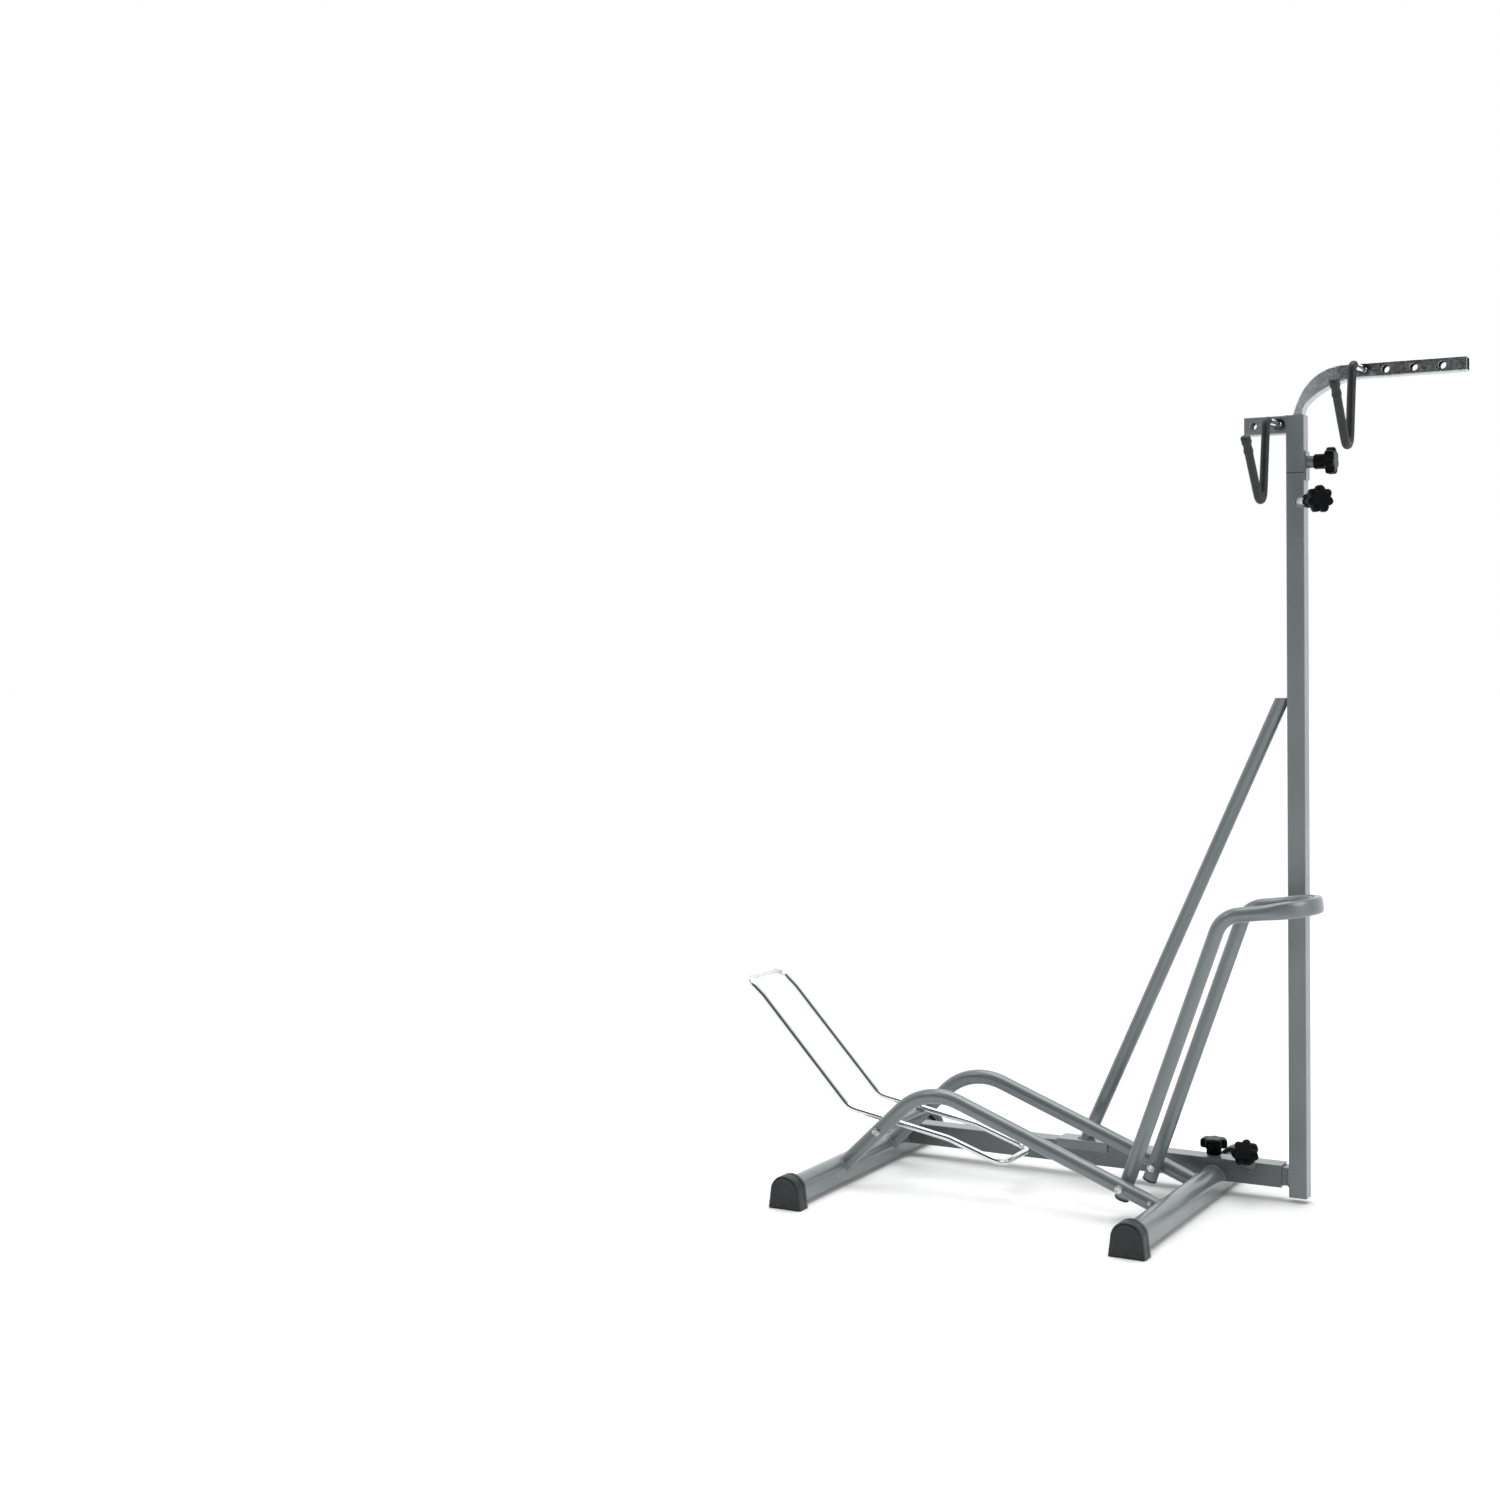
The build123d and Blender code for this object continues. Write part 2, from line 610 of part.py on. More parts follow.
# ---- star knobs ------------------------------------------------------------------------------
class ClampKnob:
    """A star knob on a stud that presses an inner tube through a nut on the outer tube.

    base is on the outer tube, out points away from it, cover is what the nut must fit round,
    depth is how far inside the surface the clamped tube lies.
    """

    def __init__(self, base, out, depth, nut_start, nut_end, star_start):
        self.base = base
        self.out = Vector(*out)
        self.depth = depth
        self.nut_start = nut_start
        self.nut_end = nut_end
        self.star_start = star_start

    def point(self, along):
        return tuple(Vector(*self.base) + self.out * along)

    def plane(self, along):
        across = (0, 0, 1) if abs(self.out.Z) < 0.5 else (1, 0, 0)
        return Plane(self.point(along), x_dir=across, z_dir=self.out)

    def drill(self):
        """The clearance hole in the outer tube."""
        return rod_between(self.point(-self.depth - 2.0), self.point(self.depth + 12), STUD_HOLE_R)

    def nut(self, around):
        body = rod_between(self.point(self.nut_start), self.point(self.nut_end), CLAMP_NUT_R)
        bore = rod_between(self.point(-10), self.point(self.nut_end + 1), STUD_R + RUN_GAP)
        return body - around - bore

    def stud(self):
        inside = self.point(-self.depth + SEAM)
        return rod_between(inside, self.point(self.star_start + STAR_T - STAR_FACE), STUD_R)

    def knob(self):
        """The fluted hub and the lobed head, bored for the stud."""
        hub_start = self.nut_end + SEAM
        hub = extrude(self.plane(hub_start) * Circle(HUB_R), self.star_start - hub_start)
        outline = Circle(KNOB_WEB_R)
        for i in range(KNOB_LOBES):
            turn = Rot(0, 0, 360 / KNOB_LOBES * i)
            outline += turn * Pos(KNOB_R - LOBE_R, 0) * Circle(LOBE_R)
        star = extrude(self.plane(self.star_start) * outline, STAR_T)
        knob = hub + star
        for i in range(KNOB_LOBES):
            turn = Rot(0, 0, 360 / KNOB_LOBES * (i + 0.5))
            flute = turn * Pos(HUB_R + HUB_FLUTE_OUT, 0) * Circle(HUB_FLUTE_R)
            knob -= extrude(self.plane(hub_start - 1) * flute, self.star_start - hub_start + 1)
        bore_end = self.star_start + STAR_T - STAR_FACE + SEAM
        return knob - rod_between(self.point(-2), self.point(bore_end), STUD_R + RUN_GAP)


BEAM_TOP_KNOB = ClampKnob(
    base=(-2.3, LANE_Y, BEAM_TOP),
    out=(0, 0, 1),
    depth=(BEAM - STUB) / 2,
    nut_start=0.0,
    nut_end=1.2,
    star_start=9.5,
)
BEAM_EDGE_KNOB = ClampKnob(
    base=(41.3, BEAM_NEAR, BEAM_TOP),
    out=(0, -ROOT_HALF, ROOT_HALF),
    depth=(BEAM - STUB) * ROOT_HALF,
    nut_start=-4.0,
    nut_end=5.0,
    star_start=14.0,
)
POST_KNOB = ClampKnob(
    base=(POST_RIGHT, POST_NEAR, 784.6),
    out=(ROOT_HALF, -ROOT_HALF, 0),
    depth=(POST - MAST) * ROOT_HALF,
    nut_start=-4.0,
    nut_end=10.0,
    star_start=28.5,
)
SLEEVE_KNOB = ClampKnob(
    base=(POST_RIGHT, LANE_Y, 829.0),
    out=(1, 0, 0),
    depth=(POST - MAST) / 2,
    nut_start=PAD_T,
    nut_end=9.5,
    star_start=23.0,
)


# ---- the nodes -------------------------------------------------------------------------------
def base_nodes():
    nodes = {
        "left_foot": foot_tube(-FOOT_SPACING),
        "right_foot": foot_tube(0),
        "beam": beam(),
        "beam_plug": plug("X", BEAM_LEFT, BEAM, BEAM_WALL, (LANE_Y, BEAM_MID_Z), -1),
        "beam_top_nut": BEAM_TOP_KNOB.nut(beam_outside()),
        "beam_edge_nut": BEAM_EDGE_KNOB.nut(beam_outside()),
        "near_side_tube": side_tube(),
        "far_side_tube": mirrored(side_tube()),
        "side_rivets": group(side_rivet(), mirrored(side_rivet())),
        "hoop_bolts": group(hoop_bolt(), mirrored(hoop_bolt())),
        "hoop_nuts": group(hoop_nut(), mirrored(hoop_nut())),
        "rocker_bolt": rocker_bolt(),
        "rocker_nut": rocker_nut(),
    }
    for name, x in (("left", -FOOT_SPACING), ("right", 0)):
        nodes[f"{name}_near_cap"] = foot_cap(x, -1)
        nodes[f"{name}_far_cap"] = foot_cap(x, 1)
    return nodes


def post_nodes():
    return {
        "stub": stub(),
        "stub_plug": plug("X", STUB_LEFT, STUB, STUB_WALL, (LANE_Y, BEAM_MID_Z), -1),
        "post": post(),
        "post_plug": post_plug(),
        "post_nut": POST_KNOB.nut(bar_along("Z", POST_Z0, POST_Z1, POST, (POST_MID_X, LANE_Y))),
        "brace": brace(),
        "brace_saddle": saddle(),
        "saddle_screws": saddle_screws(),
    }


def upper_nodes():
    near, far = LANE_Y - POST / 2, LANE_Y + POST / 2
    arm_near, arm_far = LANE_Y - MAST / 2, LANE_Y + MAST / 2
    return {
        "sleeve": sleeve(),
        "sleeve_bracket": bracket(),
        "sleeve_pad": sleeve_pad(),
        "sleeve_nut": SLEEVE_KNOB.nut(sleeve_pad()),
        "mast": mast(),
        "left_hook": hook_rod(*LEFT_HOOK, far + HOOK_TAIL),
        "left_hook_rubber": hook_rubber(*LEFT_HOOK, far + HOOK_TAIL),
        "left_hook_nuts": hook_nuts(*LEFT_HOOK, near, far),
        "right_hook": hook_rod(*RIGHT_HOOK, arm_far + HOOK_TAIL),
        "right_hook_rubber": hook_rubber(*RIGHT_HOOK, arm_far + HOOK_TAIL),
        "right_hook_nuts": hook_nuts(*RIGHT_HOOK, arm_near, arm_far),
    }


def wheel_holder_nodes():
    return {
        "hoop": hoop(),
        "hoop_plugs": group(hoop_plug(), mirrored(hoop_plug())),
        "rocker_wire": rocker_wire(),
        "rocker_tube": rocker_tube(),
    }


def knob_nodes():
    nodes = {}
    knobs = (
        ("beam_top", BEAM_TOP_KNOB),
        ("beam_edge", BEAM_EDGE_KNOB),
        ("post", POST_KNOB),
        ("sleeve", SLEEVE_KNOB),
    )
    for name, knob in knobs:
        nodes[f"{name}_stud"] = knob.stud()
        nodes[f"{name}_knob"] = knob.knob()
    return nodes


def main():
    os.makedirs("parts", exist_ok=True)
    nodes = {}
    for make in (base_nodes, post_nodes, upper_nodes, wheel_holder_nodes, knob_nodes):
        nodes.update(make())
    for name, shape in nodes.items():
        export_step(Pos(ORIGIN_X, 0, 0) * shape, f"parts/{name}.step")


main()
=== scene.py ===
"""Looks of the bicycle floor stand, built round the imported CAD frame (metres, +Z up).

Sizes are written in millimetres, with X from the right foot's middle as in the CAD source, and at()
turns them into the frame's metres.
"""

import json
import math

import bmesh
import bpy
from mathutils import Matrix, Quaternion, Vector, noise
from mathutils.bvhtree import BVHTree


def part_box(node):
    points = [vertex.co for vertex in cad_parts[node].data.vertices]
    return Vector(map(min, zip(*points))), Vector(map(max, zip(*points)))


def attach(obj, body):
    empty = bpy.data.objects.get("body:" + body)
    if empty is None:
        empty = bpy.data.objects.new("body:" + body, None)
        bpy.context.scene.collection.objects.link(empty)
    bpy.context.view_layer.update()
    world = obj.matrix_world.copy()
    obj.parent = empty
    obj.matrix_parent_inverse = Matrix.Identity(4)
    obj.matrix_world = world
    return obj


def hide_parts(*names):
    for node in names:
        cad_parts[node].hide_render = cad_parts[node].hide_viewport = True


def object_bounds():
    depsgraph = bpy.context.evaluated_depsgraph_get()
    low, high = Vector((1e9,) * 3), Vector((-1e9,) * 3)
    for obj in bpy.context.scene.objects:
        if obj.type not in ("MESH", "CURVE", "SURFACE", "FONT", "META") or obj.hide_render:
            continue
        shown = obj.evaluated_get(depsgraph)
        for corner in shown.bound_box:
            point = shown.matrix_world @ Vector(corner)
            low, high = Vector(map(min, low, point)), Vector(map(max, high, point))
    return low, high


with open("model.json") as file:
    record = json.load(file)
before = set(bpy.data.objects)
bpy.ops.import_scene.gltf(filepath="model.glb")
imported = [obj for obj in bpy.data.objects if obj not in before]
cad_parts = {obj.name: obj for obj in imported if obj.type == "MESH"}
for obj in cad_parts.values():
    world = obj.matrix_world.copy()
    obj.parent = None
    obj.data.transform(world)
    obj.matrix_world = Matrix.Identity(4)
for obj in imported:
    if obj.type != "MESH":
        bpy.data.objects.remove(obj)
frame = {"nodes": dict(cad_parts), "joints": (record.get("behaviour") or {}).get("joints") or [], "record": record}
CAD_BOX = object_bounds()
JOINTS = {joint["name"]: joint for joint in frame["joints"]}

# ---- sizes, in millimetres, the same as the CAD source ----
FOOT_SPACING = 396.0
FOOT_HALF_W = 13.5
FOOT_Z0 = 6.0
FOOT_Z1 = 31.5
CAP_HALF_W = 20.0
CAP_TOP_R = 17.7
CAP_H = 36.8
CAP_LENGTH = 20.0
BEAM = 25.0
BEAM_Z0 = 16.0
POST = 20.0
ARM = 16.0
SIDE_R = 8.5
SIDE_Y = 63.3
PEAK = (-283.6, 124.7)
SIDE_LEFT_ANGLE = 44.0
SIDE_RIGHT_ANGLE = 20.8
HOOP_Y = 46.5
HOOP_R = 8.0
HOOP_TAIL = 15.5
HOOP_LEG_ANGLE = 70.3
HOOP_BEND_X = 55.3
HOOP_BEND_R = 30.0
HOOP_TOP_ANGLE = 7.5
HOOP_ROUND_X = 98.0
WIRE_R = 3.5
ROCKER_Y = 41.0
ROCKER_SIDE = ((-530.0, 226.2), (-507.8, 207.2), (-394.0, 84.5), (-266.0, 62.0), (-200.0, 40.0))
ROCKER_BENDS = (14.0, 40.0, 26.0, 60.0, 14.0)
BRACE_ANGLE = 65.8
ARM_BEND_END = 158.0
PALE_FADE = 50.0
HOOK_R = 3.5
RUBBER_R = 4.6
HOOK_ELBOW_Y = 46.0
HOOK_CORNER = (-16.3, -107.1)
HOOK_TIP = (-79.5, -26.4)
HOOK_ELBOW_R = 9.0
HOOK_BEND_R = 12.3
BOLT_R = 2.5
BOLT_HEX = 8.0
BOLT_HEAD = 3.5
BOLT_NUT_T = 4.7
BOLT_TAIL = 2.5
BOLT_PITCH = 0.8
HOOK_HEX = 12.0
HOOK_NUT_T = 5.0
HOOK_PITCH = 1.0
SEAM = 0.3
HOOK_TUBES = {"left_hook": POST, "right_hook": ARM}  # the tube that each hook goes through

# ---- camera, worked out from the object's own edges ----
CAMERA_AT = (0.8399, -2.2243, 0.6099)
CAMERA_TURN = math.radians(29.56)
CAMERA_ROLL = 0.0042
CAMERA_LENS = 49.97
CAMERA_SHIFT_Y = -0.0598


# ---- placing ----
def foot_middle():
    low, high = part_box("right_foot")
    return (low.x + high.x) / 2


def lane_middle():
    low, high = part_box("beam")
    return (low.y + high.y) / 2 * 1000


ORIGIN_X = foot_middle()
LANE_Y = lane_middle()


def at(x, y, z):
    """A point in the frame's metres."""
    return Vector((x / 1000 + ORIGIN_X, y / 1000, z / 1000))


def joint_place(name):
    joint = JOINTS[name]
    return Vector(joint["pos_m"]), Vector(joint["axis"]).normalized()


def across(axis):
    """Two unit vectors square to the axis and to each other."""
    hint = Vector((0, 0, 1)) if abs(axis.z) < 0.9 else Vector((1, 0, 0))
    u = (hint - axis * hint.dot(axis)).normalized()
    return u, axis.cross(u)


def spoke(u, v, angle):
    """The unit vector at an angle from u towards v."""
    return u * math.cos(angle) + v * math.sin(angle)


def leaning(degrees):
    """The unit vector in the stand's side plane at an angle above +X."""
    angle = math.radians(degrees)
    return Vector((math.cos(angle), 0, math.sin(angle)))


def smooth(share):
    """0..1 eased at both ends."""
    return share * share * (3 - 2 * share)


def rounded_square(half, corner):
    """Offsets round a square with rounded corners, four points on each corner."""
    flat = half - corner
    for a, b, first in ((1, 1, 0), (-1, 1, 90), (-1, -1, 180), (1, -1, 270)):
        for k in range(4):
            angle = math.radians(first + 30 * k)
            yield a * flat + corner * math.cos(angle), b * flat + corner * math.sin(angle)


# ---- meshes ----
class Skin:
    """Points and faces that become one mesh."""

    def __init__(self):
        self.points = []
        self.faces = []

    def loft(self, rings, closed=False, caps=(True, True)):
        """Faces between one ring and the next; caps close the first and the last ring."""
        first = len(self.points)
        count = len(rings[0])
        for ring in rings:
            self.points.extend(ring)
        spans = len(rings) if closed else len(rings) - 1
        for i in range(spans):
            a = first + i * count
            b = first + (i + 1) % len(rings) * count
            for j in range(count):
                k = (j + 1) % count
                self.faces.append((a + j, a + k, b + k, b + j))
        if not closed and caps[0]:
            self.faces.append(tuple(reversed(range(first, first + count))))
        if not closed and caps[1]:
            end = first + (len(rings) - 1) * count
            self.faces.append(tuple(range(end, end + count)))

    def turn(self, base, axis, profile, count=48, outline=None, caps=(True, True)):
        """A turned form: profile is (distance along the axis, radius) in millimetres."""
        u, v = across(axis)
        rings = []
        for distance, radius in profile:
            ring = []
            for j in range(count):
                angle = 2 * math.pi * j / count
                r = outline(angle, radius) if outline else radius
                ring.append(base + axis * (distance / 1000) + spoke(u, v, angle) * (r / 1000))
            rings.append(ring)
        self.loft(rings, caps=caps)

    def mesh(self, name, sharp=35):
        data = bpy.data.meshes.new(name)
        data.from_pydata([tuple(p) for p in self.points], [], self.faces)
        work = bmesh.new()
        work.from_mesh(data)
        bmesh.ops.recalc_face_normals(work, faces=work.faces)
        work.to_mesh(data)
        work.free()
        data.shade_smooth()
        data.set_sharp_from_angle(angle=math.radians(sharp))
        return data


def piece(name, skin, body, slot, replaces=(), sharp=35, material=None):
    """A finished mesh that rides on a body and stands for CAD nodes, in its slot's material or its own."""
    obj = bpy.data.objects.new(name, skin.mesh(name, sharp))
    bpy.context.scene.collection.objects.link(obj)
    obj.data.materials.append(material or MATERIALS[slot])
    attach(obj, body)
    if replaces:
        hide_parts(*replaces)
    return obj


def rounded_path(corners, radii, step=math.radians(5), closed=False):
    """Points along straight runs joined by tangent arcs, one radius for each inner corner."""
    count = len(corners)
    inner = range(count) if closed else range(1, count - 1)
    points = [] if closed else [corners[0]]
    for i, radius in zip(inner, radii):
        corner = corners[i]
        back = (corners[i - 1] - corner).normalized()
        ahead = (corners[(i + 1) % count] - corner).normalized()
        turn = math.pi - back.angle(ahead)
        trim = radius / 1000 * math.tan(turn / 2)
        middle = (back + ahead).normalized()
        centre = corner + middle * (radius / 1000 / math.cos(turn / 2))
        start = corner + back * trim - centre
        normal = back.cross(ahead).normalized()
        pieces = max(2, math.ceil(turn / step))
        for k in range(pieces + 1):
            rotation = Quaternion(normal, -turn * k / pieces)
            points.append(centre + rotation @ start)
    if not closed:
        points.append(corners[-1])
    return points


def filled(points, longest):
    """The same path with extra points on the long straight runs."""
    result = [points[0]]
    for a, b in zip(points, points[1:]):
        pieces = max(1, math.ceil((b - a).length / (longest / 1000)))
        for k in range(1, pieces + 1):
            result.append(a.lerp(b, k / pieces))
    return result


def path_rings(points, section, normal, closed=False, count=32):
    """Rings along a path: section(i, angle) gives the two offsets in millimetres."""
    rings = []
    total = len(points)
    side = normal
    last_tangent = None
    for i, point in enumerate(points):
        before = points[i - 1] if i or closed else point
        after = points[(i + 1) % total] if i < total - 1 or closed else point
        tangent = (after - before).normalized()
        if last_tangent is not None:
            side = last_tangent.rotation_difference(tangent) @ side
        side = (side - tangent * side.dot(tangent)).normalized()
        third = tangent.cross(side)
        last_tangent = tangent
        ring = []
        for j in range(count):
            a, b = section(i, 2 * math.pi * j / count)
            ring.append(point + side * (a / 1000) + third * (b / 1000))
        rings.append(ring)
    return rings


def round_section(radius):
    def offsets(_, angle):
        return radius * math.cos(angle), radius * math.sin(angle)

    return offsets


def distances(points):
    """How far along the path each point lies, in millimetres."""
    total = 0.0
    result = [0.0]
    for a, b in zip(points, points[1:]):
        total += (b - a).length * 1000
        result.append(total)
    return result


# ---- materials ----
EDGE_FLAT = 0.995  # cosine between the bevelled and the plain normal, on a flat
EDGE_SHARP = 0.9  # and on a sharp edge
BEAM_SHADE_DEPTH = 0.60  # how light the painted shade on the beam and the parts beside it leaves the frame's paint
EDGE_GAIN = 1.35  # how much lighter zinc is on its edges


def set_range(node, low, high, at_low, at_high):
    """Fills in the four ends of a map range node."""
    names = ("From Min", "From Max", "To Min", "To Max")
    for name, value in zip(names, (low, high, at_low, at_high)):
        node.inputs[name].default_value = value


class Paint:
    """One procedural material, built node by node."""

    def __init__(self, name):
        self.material = bpy.data.materials.new(name)
        self.material.use_nodes = True
        self.tree = self.material.node_tree
        self.shader = self.tree.nodes["Principled BSDF"]
        self.place = self.node("ShaderNodeTexCoord").outputs["Object"]

    def node(self, kind, **inputs):
        made = self.tree.nodes.new(kind)
        for name, value in inputs.items():
            made.inputs[name.replace("_", " ")].default_value = value
        return made

    def link(self, start, end):
        self.tree.links.new(start, end)

    def set(self, **values):
        for name, value in values.items():
            self.shader.inputs[name.replace("_", " ")].default_value = value

    def stretched(self, scale):
        """Object coordinates stretched by a factor on each axis."""
        mapping = self.node("ShaderNodeMapping")
        mapping.inputs["Scale"].default_value = scale
        self.link(self.place, mapping.inputs["Vector"])
        return mapping.outputs["Vector"]

    def along(self, axis):
        """One of the object's own coordinates, in metres."""
        parts = self.node("ShaderNodeSeparateXYZ")
        self.link(self.place, parts.inputs["Vector"])
        return parts.outputs[axis]

    def noise(self, scale, detail=3.0, roughness=0.55, vector=None):
        made = self.node("ShaderNodeTexNoise", Scale=scale, Detail=detail, Roughness=roughness)
        self.link(vector or self.place, made.inputs["Vector"])
        return made.outputs["Fac"]

    def cells(self, scale, output="Distance"):
        made = self.node("ShaderNodeTexVoronoi", Scale=scale)
        self.link(self.place, made.inputs["Vector"])
        return made.outputs[output]

    def spread(self, value, low, high, to_low=0.0, to_high=1.0):
        """value from low..high mapped to to_low..to_high and clamped."""
        made = self.node("ShaderNodeMapRange")
        set_range(made, low, high, to_low, to_high)
        self.link(value, made.inputs["Value"])
        return made.outputs["Result"]

    def maths(self, operation, a, b):
        made = self.node("ShaderNodeMath")
        made.operation = operation
        for socket, value in zip(made.inputs, (a, b)):
            if isinstance(value, (int, float)):
                socket.default_value = value
            else:
                self.link(value, socket)
        return made.outputs["Value"]

    def mix(self, share, first, second):
        made = self.tree.nodes.new("ShaderNodeMix")
        made.data_type = "RGBA"
        self.link(share, made.inputs["Factor"])
        for socket, value in zip((made.inputs[6], made.inputs[7]), (first, second)):
            if isinstance(value, tuple):
                socket.default_value = (*value, 1.0)
            else:
                self.link(value, socket)
        return made.outputs[2]

    def edges(self, radius):
        """1 on convex and concave edges, 0 on the flats."""
        bevel = self.node("ShaderNodeBevel", Radius=radius)
        bevel.samples = 4
        plain = self.node("ShaderNodeNewGeometry")
        dot = self.node("ShaderNodeVectorMath")
        dot.operation = "DOT_PRODUCT"
        self.link(bevel.outputs["Normal"], dot.inputs[0])
        self.link(plain.outputs["Normal"], dot.inputs[1])
        return self.spread(dot.outputs["Value"], EDGE_FLAT, EDGE_SHARP)

    def bumps(self, *layers):
        """Bump layers of (height, strength, distance in metres), one on top of the other."""
        below = None
        for height, strength, distance in layers:
            made = self.node("ShaderNodeBump", Strength=strength, Distance=distance)
            self.link(height, made.inputs["Height"])
            if below is not None:
                self.link(below, made.inputs["Normal"])
            below = made.outputs["Normal"]
        self.link(below, self.shader.inputs["Normal"])

    def colour(self, socket):
        self.link(socket, self.shader.inputs["Base Color"])

    def roughness(self, socket):
        self.link(socket, self.shader.inputs["Roughness"])


def painted_steel(name="painted_steel", depth=1.0):
    """Satin grey powder coat with orange peel, fine flake, dust and rubbed edges."""
    paint = Paint(name)
    cloud = paint.spread(paint.noise(9.0, 4.0), 0.3, 0.7)
    flake = paint.spread(paint.cells(2600.0, "Color"), 0.0, 1.0)
    dark = tuple(value * depth for value in (0.132, 0.154, 0.157))
    light = tuple(value * depth for value in (0.163, 0.185, 0.188))
    base = paint.mix(cloud, dark, light)
    speck = paint.mix(paint.maths("MULTIPLY", flake, 0.20), base, (0.33, 0.36, 0.365))
    chips = paint.spread(paint.noise(170.0, 6.0, 0.7), 0.52, 0.62)
    rubbed = paint.maths("MULTIPLY", paint.edges(0.0009), chips)
    worn = paint.maths("MULTIPLY", rubbed, 0.5)
    dust = paint.spread(paint.noise(38.0, 6.0, 0.68), 0.55, 0.78, 0.0, 0.07)
    dusty = paint.mix(dust, speck, (0.34, 0.36, 0.36))
    paint.colour(paint.mix(worn, dusty, (0.40, 0.42, 0.42)))
    smear = paint.spread(paint.noise(24.0, 5.0, 0.6), 0.3, 0.75, 0.28, 0.35)
    paint.roughness(smear)
    paint.set(Metallic=0.40, Coat_Weight=0.30, Coat_Roughness=0.12)
    peel = paint.noise(950.0, 2.0)
    grain = paint.noise(5200.0, 2.0)
    paint.bumps((peel, 0.07, 0.0006), (grain, 0.05, 0.0002))
    return paint.material


def galvanised_steel():
    """Zinc-coated tube: crystals, streaks along the tube, dull stains and a paler bend."""
    paint = Paint("galvanised_steel")
    crystals = paint.cells(260.0, "Color")
    tone = paint.spread(crystals, 0.0, 1.0)
    base = paint.mix(tone, (0.40, 0.43, 0.44), (0.56, 0.59, 0.60))
    streak_place = paint.stretched((1.0, 40.0, 40.0))
    streaks = paint.spread(paint.noise(26.0, 5.0, 0.7, streak_place), 0.38, 0.62)
    drawn = paint.mix(paint.maths("MULTIPLY", streaks, 0.45), base, (0.24, 0.27, 0.28))
    stains = paint.spread(paint.noise(52.0, 7.0, 0.75), 0.58, 0.66, 0.0, 0.4)
    dull = paint.mix(stains, drawn, (0.24, 0.26, 0.265))
    bend_end = at(ARM_BEND_END, 0, 0).x
    bent = paint.spread(paint.along("X"), bend_end - PALE_FADE / 1000, bend_end, 1.0, 0.0)
    crazed = paint.mix(paint.maths("MULTIPLY", bent, 0.55), dull, (0.62, 0.65, 0.66))
    bright = paint.maths("MULTIPLY", paint.edges(0.0007), 0.6)
    paint.colour(paint.mix(bright, crazed, (0.75, 0.77, 0.78)))
    satin = paint.spread(tone, 0.0, 1.0, 0.16, 0.30)
    stained = paint.maths("ADD", satin, paint.maths("MULTIPLY", stains, 0.3))
    paint.roughness(paint.maths("ADD", stained, paint.maths("MULTIPLY", bent, 0.22)))
    paint.set(Metallic=1.0)
    scratches = paint.noise(700.0, 4.0, 0.7, paint.stretched((0.25, 1.0, 1.0)))
    paint.bumps((tone, 0.06, 0.0004), (scratches, 0.10, 0.0003))
    return paint.material


def chromed_wire():
    """Bright chrome with wiping marks and pin-sized pits."""
    paint = Paint("chromed_wire")
    wipe = paint.spread(paint.noise(55.0, 6.0, 0.65), 0.35, 0.75)
    pits = paint.spread(paint.cells(900.0), 0.0, 0.12, 1.0, 0.0)
    sparse = paint.maths("MULTIPLY", pits, paint.spread(paint.noise(90.0), 0.55, 0.6))
    base = paint.mix(wipe, (0.74, 0.76, 0.77), (0.62, 0.64, 0.65))
    paint.colour(paint.mix(sparse, base, (0.28, 0.26, 0.24)))
    paint.roughness(paint.spread(wipe, 0.0, 1.0, 0.05, 0.18))
    paint.set(Metallic=1.0)
    paint.bumps((paint.noise(420.0, 3.0), 0.06, 0.0003), (sparse, 0.2, 0.0001))
    return paint.material


def zinc_plating(name, dark, light):
    """Thin zinc on bolts and nuts, a little cloudy and brighter on its edges."""
    paint = Paint(name)
    cloud = paint.spread(paint.noise(130.0, 5.0, 0.65), 0.3, 0.7)
    base = paint.mix(cloud, light, dark)
    bright = paint.maths("MULTIPLY", paint.edges(0.0004), 0.7)
    edge = tuple(min(1.0, value * EDGE_GAIN) for value in light)
    paint.colour(paint.mix(bright, base, edge))
    paint.roughness(paint.spread(cloud, 0.0, 1.0, 0.18, 0.40))
    paint.set(Metallic=1.0)
    paint.bumps((paint.noise(1500.0, 3.0), 0.12, 0.0002))
    return paint.material


def moulded_plastic():
    """Matt black plastic with a spark-eroded grain and scuffed edges."""
    paint = Paint("moulded_plastic")
    cloud = paint.spread(paint.noise(45.0, 4.0), 0.3, 0.7)
    base = paint.mix(cloud, (0.003, 0.008, 0.008), (0.007, 0.013, 0.013))
    scuffs = paint.spread(paint.noise(260.0, 6.0, 0.7, paint.stretched((1.0, 1.0, 0.25))), 0.56, 0.68)
    worn = paint.maths("MULTIPLY", paint.edges(0.0012), paint.maths("ADD", scuffs, 0.35))
    paint.colour(paint.mix(paint.maths("MULTIPLY", worn, 0.4), base, (0.11, 0.125, 0.125)))
    paint.roughness(paint.spread(paint.noise(80.0, 5.0), 0.3, 0.7, 0.32, 0.46))
    paint.set(Specular_IOR_Level=0.45)
    grain = paint.cells(2300.0)
    paint.bumps((grain, 0.16, 0.0003), (paint.noise(160.0, 3.0), 0.06, 0.001))
    return paint.material


